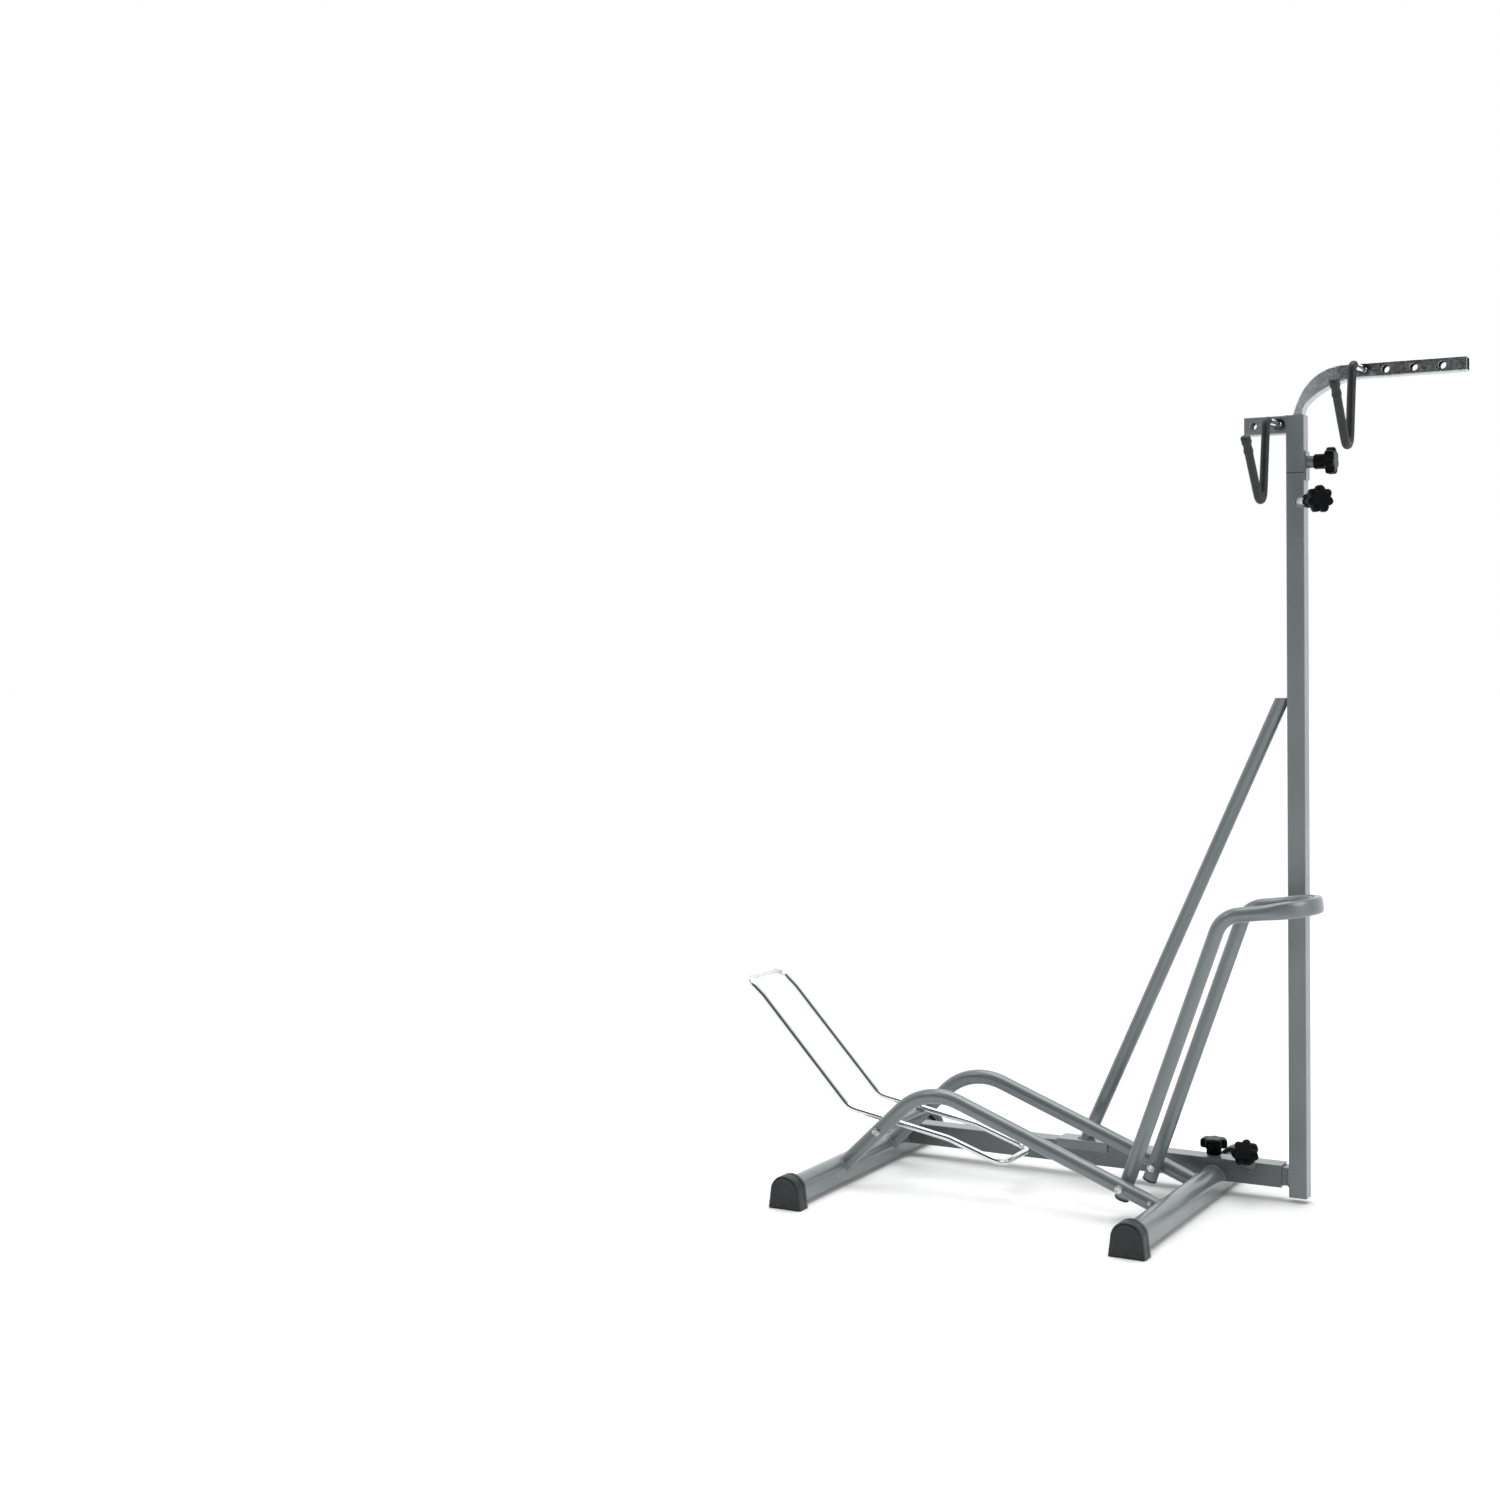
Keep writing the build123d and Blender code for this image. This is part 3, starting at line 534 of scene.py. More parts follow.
def knob_plastic():
    """Glossy black thermoset with faint flow marks."""
    paint = Paint("knob_plastic")
    flow = paint.noise(70.0, 5.0, 0.6, paint.stretched((1.0, 1.0, 3.0)))
    base = paint.mix(paint.spread(flow, 0.35, 0.7), (0.002, 0.003, 0.003), (0.004, 0.006, 0.006))
    worn = paint.maths("MULTIPLY", paint.edges(0.0008), paint.spread(paint.noise(300.0, 5.0), 0.45, 0.6))
    paint.colour(paint.mix(paint.maths("MULTIPLY", worn, 0.3), base, (0.05, 0.06, 0.06)))
    paint.roughness(paint.spread(paint.noise(140.0, 5.0), 0.3, 0.7, 0.18, 0.32))
    paint.set(Specular_IOR_Level=0.05)
    paint.bumps((paint.noise(480.0, 3.0), 0.08, 0.0004))
    return paint.material


def hook_rubber():
    """Extruded rubber sleeve: fine lines, dust and a soft sheen."""
    paint = Paint("hook_rubber")
    dust = paint.spread(paint.noise(60.0, 6.0, 0.7), 0.5, 0.75, 0.0, 0.35)
    paint.colour(paint.mix(dust, (0.004, 0.008, 0.007), (0.014, 0.021, 0.020)))
    paint.roughness(paint.spread(paint.noise(210.0, 4.0), 0.3, 0.7, 0.44, 0.62))
    lines = paint.noise(900.0, 4.0, 0.6, paint.stretched((1.0, 0.2, 0.2)))
    paint.bumps((lines, 0.20, 0.0004), (paint.noise(130.0, 3.0), 0.12, 0.0008))
    return paint.material


MATERIALS = {
    "frame_grey": painted_steel(),
    "galvanised": galvanised_steel(),
    "chrome": chromed_wire(),
    "zinc": zinc_plating("zinc_plating", (0.46, 0.47, 0.46), (0.62, 0.64, 0.66)),
    "black_plastic": moulded_plastic(),
    "knob_plastic": knob_plastic(),
    "hook_rubber": hook_rubber(),
}
# Black zinc for the hooks' lock nuts: partly the nuts' own dark finish, partly painted shade.
BLACK_ZINC_AND_SHADE = zinc_plating("black_zinc_and_shade", (0.035, 0.04, 0.04), (0.07, 0.075, 0.075))
# A darker copy of the frame's paint: painted shade on the beam, its stub and the sleeve's nut and pad.
SHADED_BEAM_PAINT = painted_steel("painted_steel_shade", BEAM_SHADE_DEPTH)
SHADED_NODES = ("beam", "stub", "sleeve_nut", "sleeve_pad")


def dress_cad_nodes():
    """Every CAD node gets its slot's material, or a darker copy of the same paint as painted shade."""
    for part in frame["record"]["subparts"]:
        node, slot = part["node"], part["material_slot"]
        obj = frame["nodes"][node]
        obj.data.materials.clear()
        obj.data.materials.append(SHADED_BEAM_PAINT if node in SHADED_NODES else MATERIALS[slot])


# ---- fasteners ----
HEX_SIDES = 72
HEX_FACE = 0.95  # the flat end's radius as a share of half the width across flats
HEX_SLOPE = math.tan(math.radians(30))
HOLE_CHAMFER = 0.4
HOLE_CHAMFER_DEPTH = 0.5
HOLE_DEPTH = 1.5
DISH_RIM = 0.72
DISH_FLOOR = 0.58
FLANGE_T = 0.6
BOLT_SIDES = 24
THREAD_SIDES = 24
THREAD_STEPS = 6  # rings for each turn of the helix
THREAD_DEPTH = 0.45  # as a share of the pitch
THREAD_BEVEL = 1.0


def hex_reach(angle, flats):
    """Distance from the middle to a hexagon's side at an angle."""
    turned = (angle + math.pi / 6) % (math.pi / 3) - math.pi / 6
    return flats / 2 / math.cos(turned)


def hexagon(skin, base, axis, flats, height, hole=0.0, both=False, dish=0.0):
    """A hexagon head or nut with chamfered corners; base is its seat."""
    u, v = across(axis)
    face_r = flats / 2 * HEX_FACE

    def ring(distance, radius):
        made = []
        for j in range(HEX_SIDES):
            angle = 2 * math.pi * j / HEX_SIDES
            level = base + axis * (distance(angle) / 1000)
            made.append(level + spoke(u, v, angle) * (radius(angle) / 1000))
        return made

    def wall(angle):
        return hex_reach(angle, flats)

    def drop(angle):
        return (wall(angle) - face_r) * HEX_SLOPE

    rings = []
    if both:
        rings.append(ring(lambda a: 0.0, lambda a: face_r))
        rings.append(ring(drop, wall))
    else:
        rings.append(ring(lambda a: 0.0, wall))
    rings.append(ring(lambda a: height - drop(a), wall))
    rings.append(ring(lambda a: height, lambda a: face_r))
    if hole:
        rings.append(ring(lambda a: height, lambda a: hole + HOLE_CHAMFER))
        rings.append(ring(lambda a: height - HOLE_CHAMFER_DEPTH, lambda a: hole))
        rings.append(ring(lambda a: height - HOLE_DEPTH, lambda a: hole))
    elif dish:
        rings.append(ring(lambda a: height, lambda a: face_r * DISH_RIM))
        rings.append(ring(lambda a: height - dish, lambda a: face_r * DISH_FLOOR))
    skin.loft(rings)


def thread(skin, start, end, radius, pitch):
    """A rod with a helical thread, bevelled at its free end."""
    axis = (end - start).normalized()
    length = (end - start).length * 1000
    u, v = across(axis)
    steps = max(2, math.ceil(length / pitch * THREAD_STEPS))
    depth = pitch * THREAD_DEPTH
    rings = []
    for i in range(steps + 1):
        s = length * i / steps
        end_trim = max(0.0, THREAD_BEVEL - (length - s))
        ring = []
        for j in range(THREAD_SIDES):
            phase = (s / pitch - j / THREAD_SIDES) % 1.0
            r = radius - depth * abs(2 * phase - 1)
            r = min(r, radius - end_trim)
            angle = 2 * math.pi * j / THREAD_SIDES
            ring.append(start + axis * (s / 1000) + spoke(u, v, angle) * (r / 1000))
        rings.append(ring)
    skin.loft(rings)


def bolt_head(skin, seat, out):
    """A small hexagon head with a thin flange under it."""
    flange = [(0.0, BOLT_HEX / 2 + 0.3), (0.5, BOLT_HEX / 2 + 0.2), (0.8, BOLT_HEX / 2 - 0.2)]
    skin.turn(seat, out, flange, 48)
    hexagon(skin, seat + out * (FLANGE_T / 1000), out, BOLT_HEX, BOLT_HEAD - FLANGE_T, dish=0.4)


def through_bolt(bolt, nut, head_seat, nut_seat, ahead):
    """Head, shank and threaded end in one skin, the nut in another; ahead points at the nut."""
    tail = nut_seat + ahead * ((BOLT_NUT_T + BOLT_TAIL) / 1000)
    shank = [(0, BOLT_R), ((nut_seat - head_seat).length * 1000, BOLT_R)]
    bolt_head(bolt, head_seat, -ahead)
    bolt.turn(head_seat, ahead, shank, BOLT_SIDES)
    thread(bolt, nut_seat, tail, BOLT_R, BOLT_PITCH)
    hexagon(nut, nut_seat, ahead, BOLT_HEX, BOLT_NUT_T, hole=BOLT_R, both=True)


def side_bolts():
    """The hoop's two bolts, with their nuts on the inner side of the legs."""
    pivot, _ = joint_place("hoop_fold")
    bolts, nuts = Skin(), Skin()
    for side in (-1, 1):
        outer = Vector((pivot.x, side * (SIDE_Y + SIDE_R) / 1000, pivot.z))
        inner = Vector((pivot.x, side * (HOOP_Y - HOOP_R - SEAM) / 1000, pivot.z))
        through_bolt(bolts, nuts, outer, inner, Vector((0, -side, 0)))
    piece("hoop_bolts_zinc", bolts, "base", "zinc", ["hoop_bolts"])
    piece("hoop_nuts_zinc", nuts, "base", "zinc", ["hoop_nuts"])


def rocker_axle():
    """The rocker's long bolt and its nut on the far side."""
    pivot, _ = joint_place("rocker_tilt")
    near = Vector((pivot.x, -(SIDE_Y + SIDE_R) / 1000, pivot.z))
    far = Vector((pivot.x, (SIDE_Y + SIDE_R) / 1000, pivot.z))
    bolt, nut = Skin(), Skin()
    through_bolt(bolt, nut, near, far, Vector((0, 1, 0)))
    piece("rocker_bolt_zinc", bolt, "base", "zinc", ["rocker_bolt"])
    piece("rocker_nut_zinc", nut, "base", "zinc", ["rocker_nut"])


def rivets():
    """A dome rivet on the outer side of each arched tube."""
    low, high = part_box("side_rivets")
    x = (low.x + high.x) / 2
    z = (low.z + high.z) / 2
    skin = Skin()
    dome = [(-1.0, 1.6), (0.0, 1.6), (0.0, 2.4), (0.4, 2.35)]
    dome += [(0.8, 1.9), (1.1, 1.2), (1.2, 0.5), (1.22, 0.2)]
    for side in (-1, 1):
        seat = Vector((x, side * (SIDE_Y + SIDE_R) / 1000, z))
        skin.turn(seat, Vector((0, side, 0)), dome, 32)
    piece("rivets_zinc", skin, "base", "zinc", ["side_rivets"])


# ---- star knobs and their studs ----
KNOB_LOBES = 7
KNOB_R = 15.5
HUB_R = 8.5
STAR_T = 10.5
STAR_FACE = 3.0
KNOB_SIDES = 168
HUB_BORE = 4.3
VALLEY_DEPTH = 3.3
VALLEY_ROUNDING = 0.03
LOBE_LOW = 0.17  # these two bring the lobes' swing to 0..1
LOBE_SPAN = 0.845
FLUTE_DEPTH = 1.3
FLUTE_WIDTH = 0.45
STUD_R = 4.0
STUD_PITCH = 1.25
NUT_R = 7.0
KNOBS = {
    # name: nut end, star start, how deep the stud reaches into the tube
    "beam_top": (1.2, 9.5, 2.2),
    "beam_edge": (5.0, 14.0, 3.2),
    "post": (10.0, 28.5, 2.5),
    "sleeve": (9.5, 23.0, 1.7),
}


def star_outline(angle, radius):
    """Round lobes with narrow valleys between them."""
    swing = math.cos(KNOB_LOBES * angle / 2)
    lobe = (math.sqrt(swing * swing + VALLEY_ROUNDING) - LOBE_LOW) / LOBE_SPAN
    return radius - VALLEY_DEPTH * (radius / KNOB_R) * (1 - lobe)


def hub_outline(angle, radius):
    """Flutes that line up with the valleys between the lobes."""
    swing = abs(math.cos(KNOB_LOBES * angle / 2))
    flute = max(0.0, 1 - swing / FLUTE_WIDTH)
    return radius - FLUTE_DEPTH * smooth(flute)


def star_knob(name):
    """Fluted hub, lobed head and dished top, at distances from the joint's place."""
    base, out = joint_place(f"{name}_knob_turn")
    nut_end, star, _ = KNOBS[name]
    start = nut_end + SEAM
    skin = Skin()
    hub = [(start, HUB_BORE), (start, HUB_R - 0.5), (start + 0.5, HUB_R), (star - 1.5, HUB_R)]
    hub += [(star - 0.4, HUB_R + 0.7), (star + 0.4, HUB_R + 2.0)]
    skin.turn(base, out, hub, KNOB_SIDES, hub_outline, caps=(True, False))
    top = star + STAR_T
    head = [(star + 0.8, 7.0), (star + 0.2, 11.0), (star + 0.1, KNOB_R - 1.6), (star + 0.5, KNOB_R - 0.6)]
    head += [(star + 1.5, KNOB_R), (star + 5.0, KNOB_R + 0.1), (top - 2.4, KNOB_R - 0.1)]
    head += [(top - 1.1, KNOB_R - 0.8), (top - 0.3, KNOB_R - 2.2), (top, KNOB_R - 4.2)]
    skin.turn(base, out, head, KNOB_SIDES, star_outline, caps=(True, False))
    dish = [(top, KNOB_R - 4.2), (top + 0.05, 8.6)]
    skin.turn(base, out, dish, KNOB_SIDES, star_outline, caps=(False, False))
    centre = [(top + 0.05, 7.9), (top - 0.5, 7.5), (top - 0.6, 5.0), (top - 0.4, 2.0), (top - 0.35, 0.3)]
    skin.turn(base, out, centre, KNOB_SIDES)
    piece(f"{name}_knob_star", skin, f"{name}_knob", "knob_plastic", [f"{name}_knob"], sharp=50)


def knob_stud(name):
    """The threaded stud from inside the knob's head to its end inside the tube."""
    base, out = joint_place(f"{name}_knob_turn")
    _, star, depth = KNOBS[name]
    top = base + out * ((star + STAR_T - STAR_FACE) / 1000)
    skin = Skin()
    thread(skin, top, base - out * (depth / 1000), STUD_R, STUD_PITCH)
    piece(f"{name}_stud_thread", skin, f"{name}_stud", "zinc", [f"{name}_stud"])


# ---- end caps ----
def ray_reach(outline, centre, angle):
    """Distance from a centre to a closed outline at an angle."""
    dx, dz = math.cos(angle), math.sin(angle)
    best = 0.0
    for (ax, az), (bx, bz) in zip(outline, outline[1:] + outline[:1]):
        ex, ez = bx - ax, bz - az
        det = dx * ez - dz * ex
        if abs(det) < 1e-9:
            continue
        px, pz = ax - centre[0], az - centre[1]
        along = (px * ez - pz * ex) / det
        share = (px * dz - pz * dx) / det
        if along > 0 and -1e-9 <= share <= 1 + 1e-9:
            best = max(best, along)
    return best


def arch(half_low, half_top, low, spring, steps=40):
    """A flat-bottomed outline with a round top, in X and Z."""
    points = [(half_low, low), (half_top, spring)]
    for i in range(1, steps):
        angle = math.pi * i / steps
        points.append((half_top * math.cos(angle), spring + half_top * math.sin(angle)))
    return points + [(-half_top, spring), (-half_low, low)]


CAP_OUTLINE = arch(CAP_HALF_W, CAP_TOP_R, 0.0, CAP_H - CAP_TOP_R)
FOOT_OUTLINE = arch(FOOT_HALF_W, FOOT_HALF_W, FOOT_Z0, FOOT_Z1 - FOOT_HALF_W)
CAP_CENTRE = (0.0, 17.0)
CAP_SIDES = 120
CAP_CORNER_STEP = 0.02


def cap_angles():
    """Even angles round the cap, with three more at each lower corner."""
    angles = [2 * math.pi * i / CAP_SIDES for i in range(CAP_SIDES)]
    for x in (CAP_HALF_W, -CAP_HALF_W):
        corner = math.atan2(-CAP_CENTRE[1], x) % (2 * math.pi)
        angles += [corner, corner - CAP_CORNER_STEP, corner + CAP_CORNER_STEP]
    return sorted(angles)


def cap_ring(angles, foot_x, y, outline, inset):
    ring = []
    for angle in angles:
        reach = ray_reach(outline, CAP_CENTRE, angle) - inset
        x = foot_x + reach * math.cos(angle)
        z = max(0.0, CAP_CENTRE[1] + reach * math.sin(angle))
        ring.append(at(x, y, z))
    return ring


def foot_cap(node, foot_x, side):
    """A bullet-shaped cap: rounded nose, shallow panel, and a collar round the tube."""
    angles = cap_angles()
    low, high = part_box(node)
    face = (high.y if side > 0 else low.y) * 1000
    # Distance behind the face, and how far inside the cap's outline.
    profile = [(0.5, 6.0), (0.5, 5.2), (0.0, 4.6), (0.0, 2.6), (0.35, 1.3), (1.2, 0.35), (2.8, 0.0)]
    profile += [(12.6, 0.0), (12.9, 0.7), (14.2, 0.7), (14.5, 0.0), (19.3, 0.0), (CAP_LENGTH, 0.7)]
    rings = [cap_ring(angles, foot_x, face - side * d, CAP_OUTLINE, inset) for d, inset in profile]
    mouth = ((CAP_LENGTH, -0.5), (CAP_LENGTH - 0.5, -0.1), (CAP_LENGTH - 4.0, -0.1))
    rings += [cap_ring(angles, foot_x, face - side * d, FOOT_OUTLINE, inset) for d, inset in mouth]
    skin = Skin()
    skin.loft(rings, caps=(True, False))
    piece(f"{node}_moulded", skin, "base", "black_plastic", [node], sharp=40)


# ---- wheel hoop ----
HOOP_STEP = 12.0
HOOP_ROUND_STEPS = 36
FLAT_LEAD = 4.0  # the flattening starts this far before the round end
FLAT_FADE = 30.0
FLAT_SQUARENESS = 0.52
FLAT_THINNER = 0.28
FLAT_TALLER = 0.13


def hoop_path():
    """Axis of the whole hoop, from one foot round the tread to the other."""
    pivot, _ = joint_place("hoop_fold")
    leg = leaning(HOOP_LEG_ANGLE)
    top = leaning(HOOP_TOP_ANGLE)
    side = Vector((0, HOOP_Y / 1000, 0))
    up = at(HOOP_BEND_X, 0, 0).x - pivot.x
    bend = pivot + leg * (up / leg.x)
    bend.y = 0
    centre = bend + top * ((HOOP_ROUND_X - HOOP_BEND_X) / 1000 / top.x)
    foot = pivot - leg * (HOOP_TAIL / 1000)
    foot.y = 0
    near = rounded_path([foot - side, bend - side, centre - side], [HOOP_BEND_R])
    near = filled(near, HOOP_STEP)
    arc = []
    for i in range(1, HOOP_ROUND_STEPS):
        angle = math.pi * i / HOOP_ROUND_STEPS
        arc.append(centre - side * math.cos(angle) + top * (math.sin(angle) * HOOP_Y / 1000))
    far = [Vector((p.x, -p.y, p.z)) for p in reversed(near)]
    return near + arc + far, centre, top


def wheel_hoop():
    """Bent tube whose outside is pressed flat where it turns round the tread."""
    points, centre, top = hoop_path()

    def section(i, angle):
        reach = (points[i] - centre).dot(top) * 1000
        flat = smooth(min(1.0, max(0.0, (reach + FLAT_LEAD) / FLAT_FADE)))
        power = 1.0 - FLAT_SQUARENESS * flat
        c, s = math.cos(angle), math.sin(angle)
        across_r = HOOP_R * (1 - FLAT_THINNER * flat)
        tall_r = HOOP_R * (1 + FLAT_TALLER * flat)
        a = math.copysign(abs(c) ** power, c) * across_r
        b = math.copysign(abs(s) ** power, s) * tall_r
        return a, b

    skin = Skin()
    rings = path_rings(points, section, Vector((0, 1, 0)), count=48)
    skin.loft(rings, caps=(False, False))
    piece("hoop_tube", skin, "hoop", "frame_grey", ["hoop"], sharp=60)


def hoop_end_plugs():
    """Moulded plugs in the lower ends of the hoop's legs."""
    pivot, _ = joint_place("hoop_fold")
    leg = leaning(HOOP_LEG_ANGLE)
    skin = Skin()
    profile = [(-6.0, 6.5), (0.0, 6.5), (0.0, 7.9), (0.4, 8.2)]
    profile += [(1.8, 8.2), (2.7, 7.6), (3.0, 6.2), (3.05, 3.0)]
    for side in (-1, 1):
        foot = pivot - leg * (HOOP_TAIL / 1000)
        foot.y = side * HOOP_Y / 1000
        skin.turn(foot, -leg, profile, 48)
    piece("hoop_plugs_moulded", skin, "hoop", "black_plastic", ["hoop_plugs"])


# ---- rocker ----
def rocker():
    """The closed chrome wire that cradles the tyre."""
    near = [at(x, -ROCKER_Y, z) for x, z in ROCKER_SIDE]
    far = [at(x, ROCKER_Y, z) for x, z in reversed(ROCKER_SIDE)]
    radii = list(ROCKER_BENDS) + list(reversed(ROCKER_BENDS))
    points = rounded_path(near + far, radii, math.radians(4), closed=True)
    points = filled(points + [points[0]], 10.0)[:-1]
    rings = path_rings(points, round_section(WIRE_R), Vector((0, 0.3, 1)), closed=True, count=24)
    skin = Skin()
    skin.loft(match_ends(rings), closed=True)
    piece("rocker_chrome", skin, "rocker", "chrome", ["rocker_wire"], sharp=80)


def match_ends(rings):
    """Turns the rings little by little so that the last one meets the first."""
    count = len(rings[0])
    first, last = rings[0], rings[-1]
    shift = min(range(count), key=lambda k: (first[0] - last[k]).length)
    if shift > count / 2:
        shift -= count
    result = []
    for i, ring in enumerate(rings):
        share = shift * i / (len(rings) - 1)
        whole = math.floor(share)
        part = share - whole
        turned = []
        for j in range(count):
            a = ring[(j + whole) % count]
            b = ring[(j + whole + 1) % count]
            turned.append(a.lerp(b, part))
        result.append(turned)
    return result


# ---- hooks ----
SHANK_STEP = 8.0  # the thread starts this far before the tube
RUBBER_FOLDS = ((5.0, 4.6, 0.9), (19.0, 3.4, 0.7))  # distance from the tip, width and height
RUBBER_UNEVEN = 26.0  # the length at the tip that is uneven
UNEVEN_HEIGHT = 0.55
TIP_ROUNDING = (1.6, 2.6)  # length and depth
MOUTH_ROUNDING = (1.2, 0.25)
RIPPLE_HEIGHT = 0.10


def hook_corners(name):
    """Tail, elbow, point of the V and tip of a hook."""
    root, _ = joint_place(f"{name}_turn")
    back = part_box(name)[1].y
    tail = Vector((root.x, back, root.z))
    elbow = Vector((root.x, HOOK_ELBOW_Y / 1000, root.z))
    corner = elbow + Vector((0, HOOK_CORNER[0], HOOK_CORNER[1])) / 1000
    tip = elbow + Vector((0, HOOK_TIP[0], HOOK_TIP[1])) / 1000
    return tail, elbow, corner, tip


def hook_wire(name, tube_half):
    """Bent wire with a threaded tail that goes through its tube."""
    tail, elbow, corner, tip = hook_corners(name)
    shank = Vector((tail.x, (LANE_Y - tube_half - SHANK_STEP) / 1000, tail.z))
    path = rounded_path([shank, elbow, corner, tip], [HOOK_ELBOW_R, HOOK_BEND_R], math.radians(4))
    skin = Skin()
    skin.loft(path_rings(path, round_section(HOOK_R), Vector((1, 0, 0)), count=32))
    thread(skin, shank, tail, HOOK_R, HOOK_PITCH)
    piece(f"{name}_chrome", skin, name, "chrome", [name], sharp=50)


def hook_sleeve(name):
    """Rubber over the elbow and both legs of the V, with two rolled folds at the tip."""
    _, elbow, corner, tip = hook_corners(name)
    out = (tip - corner).normalized()
    start = elbow + Vector((0, HOOK_ELBOW_R / 1000, 0))
    round_length, round_depth = TIP_ROUNDING
    end = tip + out * (round_length / 1000)
    bends = [HOOK_ELBOW_R, HOOK_BEND_R]
    path = filled(rounded_path([start, elbow, corner, end], bends, math.radians(3)), 1.2)
    along = distances(path)
    total = along[-1]
    mouth_length, mouth_depth = MOUTH_ROUNDING

    def section(i, angle):
        left = total - along[i]
        r = RUBBER_R - mouth_depth * math.exp(-along[i] / mouth_length)
        for fold, width, height in RUBBER_FOLDS:
            r += height * math.exp(-((left - fold) / width) ** 4)
        if left < RUBBER_UNEVEN:
            wobble = noise.noise(Vector((math.cos(angle) * 1.6, math.sin(angle) * 1.6, left * 0.28)))
            r += UNEVEN_HEIGHT * wobble
        r -= round_depth * max(0.0, 1 - left / round_length) ** 2
        ripple = noise.noise(Vector((math.cos(angle), math.sin(angle), along[i] * 0.06)))
        r += RIPPLE_HEIGHT * ripple
        return r * math.cos(angle), r * math.sin(angle)

    skin = Skin()
    skin.loft(path_rings(path, section, Vector((1, 0, 0)), count=40))
    piece(f"{name}_rubber_sleeve", skin, name, "hook_rubber", [f"{name}_rubber"], sharp=80)


def hook_locknuts(name, tube_half):
    """A nut on each side of the tube that the hook goes through; their black is partly the nuts' own black zinc
    and partly painted shade.
    """
    root, _ = joint_place(f"{name}_turn")
    skin = Skin()
    for side in (-1, 1):
        out = Vector((0, side, 0))
        seat = Vector((root.x, (LANE_Y + side * (tube_half + SEAM)) / 1000, root.z))
        hexagon(skin, seat, out, HOOK_HEX, HOOK_NUT_T, hole=HOOK_R, both=True)
    piece(f"{name}_locknuts", skin, name, "zinc", [f"{name}_nuts"], material=BLACK_ZINC_AND_SHADE)


# ---- weld beads ----
BEAD_STEP = 0.5
BEAD_RIPPLE = 2.1  # length of one ripple
BEAD_LOW = 0.86  # a ripple's valley, its rise and its unevenness, as shares of the radius
BEAD_RISE = 0.16
BEAD_UNEVEN = 0.18
BEAD_NOISE = 260
BEAD_SIDE = (0.3, 0.5, 0.81)  # slanted, so that no bead starts along it
BEAD_RAYS = 72
BEAD_FEWEST = 8  # fewer hits than this make no bead
RAY_LENGTH = 0.25  # metres
LEFT_RUN = 0.09  # how far down the side tubes from their peak the rays start, in metres
RIGHT_RUN = 0.22
SADDLE_RUN = 0.06  # how far before the saddle's middle they start
BEAM_NUT_RUN = 0.006  # and how far out from the joint's place of a knob
POST_NUT_RUN = 0.009
FOOT_SEAM_START = -8  # degrees round the foot's top
FOOT_SEAM_SWEEP = 196
FOOT_SEAM_STEPS = 24
PLATE_STEPS = 20
BEAD_OFFSET = 0.0002  # metres from the corner that a straight bead fills
BEAD_CORNER = 1.4
LIP_CORNER = 1.2
LIP_BORE = 8.4
LIP_PROUD = 0.08
LIP_LOW = -0.25
LIP_HIGH = 0.65
BEAD_R = {
    "side_tube": 1.3,
    "beam": 1.2,
    "stub": 1.5,
    "saddle": 1.3,
    "brace": 1.4,
    "bracket": 0.9,
    "nut": 0.9,
    "plate": 0.8,
}


def surface(*nodes):
    """What a ray meets on these CAD nodes."""
    points, faces = [], []
    for node in nodes:
        data = frame["nodes"][node].data
        first = len(points)
        points.extend(v.co.copy() for v in data.vertices)
        faces.extend(tuple(first + i for i in p.vertices) for p in data.polygons)
    return BVHTree.FromPolygons(points, faces)


def bead(skin, points, radius, closed):
    """A weld bead with overlapping ripples along the points."""
    path = filled(points + [points[0]] if closed else points, BEAD_STEP)
    if closed:
        path = path[:-1]
    along = distances(path)

    def section(i, angle):
        ripple = abs(math.sin(along[i] * math.pi / BEAD_RIPPLE))
        r = radius * (BEAD_LOW + BEAD_RISE * ripple)
        r += radius * BEAD_UNEVEN * noise.noise(path[i] * BEAD_NOISE)
        return r * math.cos(angle), r * math.sin(angle)

    rings = path_rings(path, section, Vector(BEAD_SIDE), closed=closed, count=12)
    skin.loft(match_ends(rings) if closed else rings, closed=closed)


def bead_round(skin, centre, axis, tube_r, target, radius):
    """A bead where a round tube that runs along axis meets the target."""
    u, v = across(axis)
    hits = []
    for j in range(BEAD_RAYS):
        start = centre + spoke(u, v, 2 * math.pi * j / BEAD_RAYS) * (tube_r / 1000)
        hit = target.ray_cast(start, axis, RAY_LENGTH)[0]
        if hit is not None:
            hits.append(hit)
    if len(hits) > BEAD_FEWEST:
        bead(skin, hits, radius, len(hits) == BEAD_RAYS)


def bead_square(skin, x, middle_y, middle_z, radius):
    """A bead round the end of a tube as wide as the post that runs along X."""
    offsets = rounded_square(POST / 2, BEAD_CORNER)
    bead(skin, [at(x, middle_y + y, middle_z + z) for y, z in offsets], radius, True)


def nut_bead(skin, knob, node, start):
    """A bead round a knob's welded nut; start is metres out from the joint's place."""
    base, out = joint_place(f"{knob}_knob_turn")
    bead_round(skin, base + out * start, -out, NUT_R, surface(node), BEAD_R["nut"])


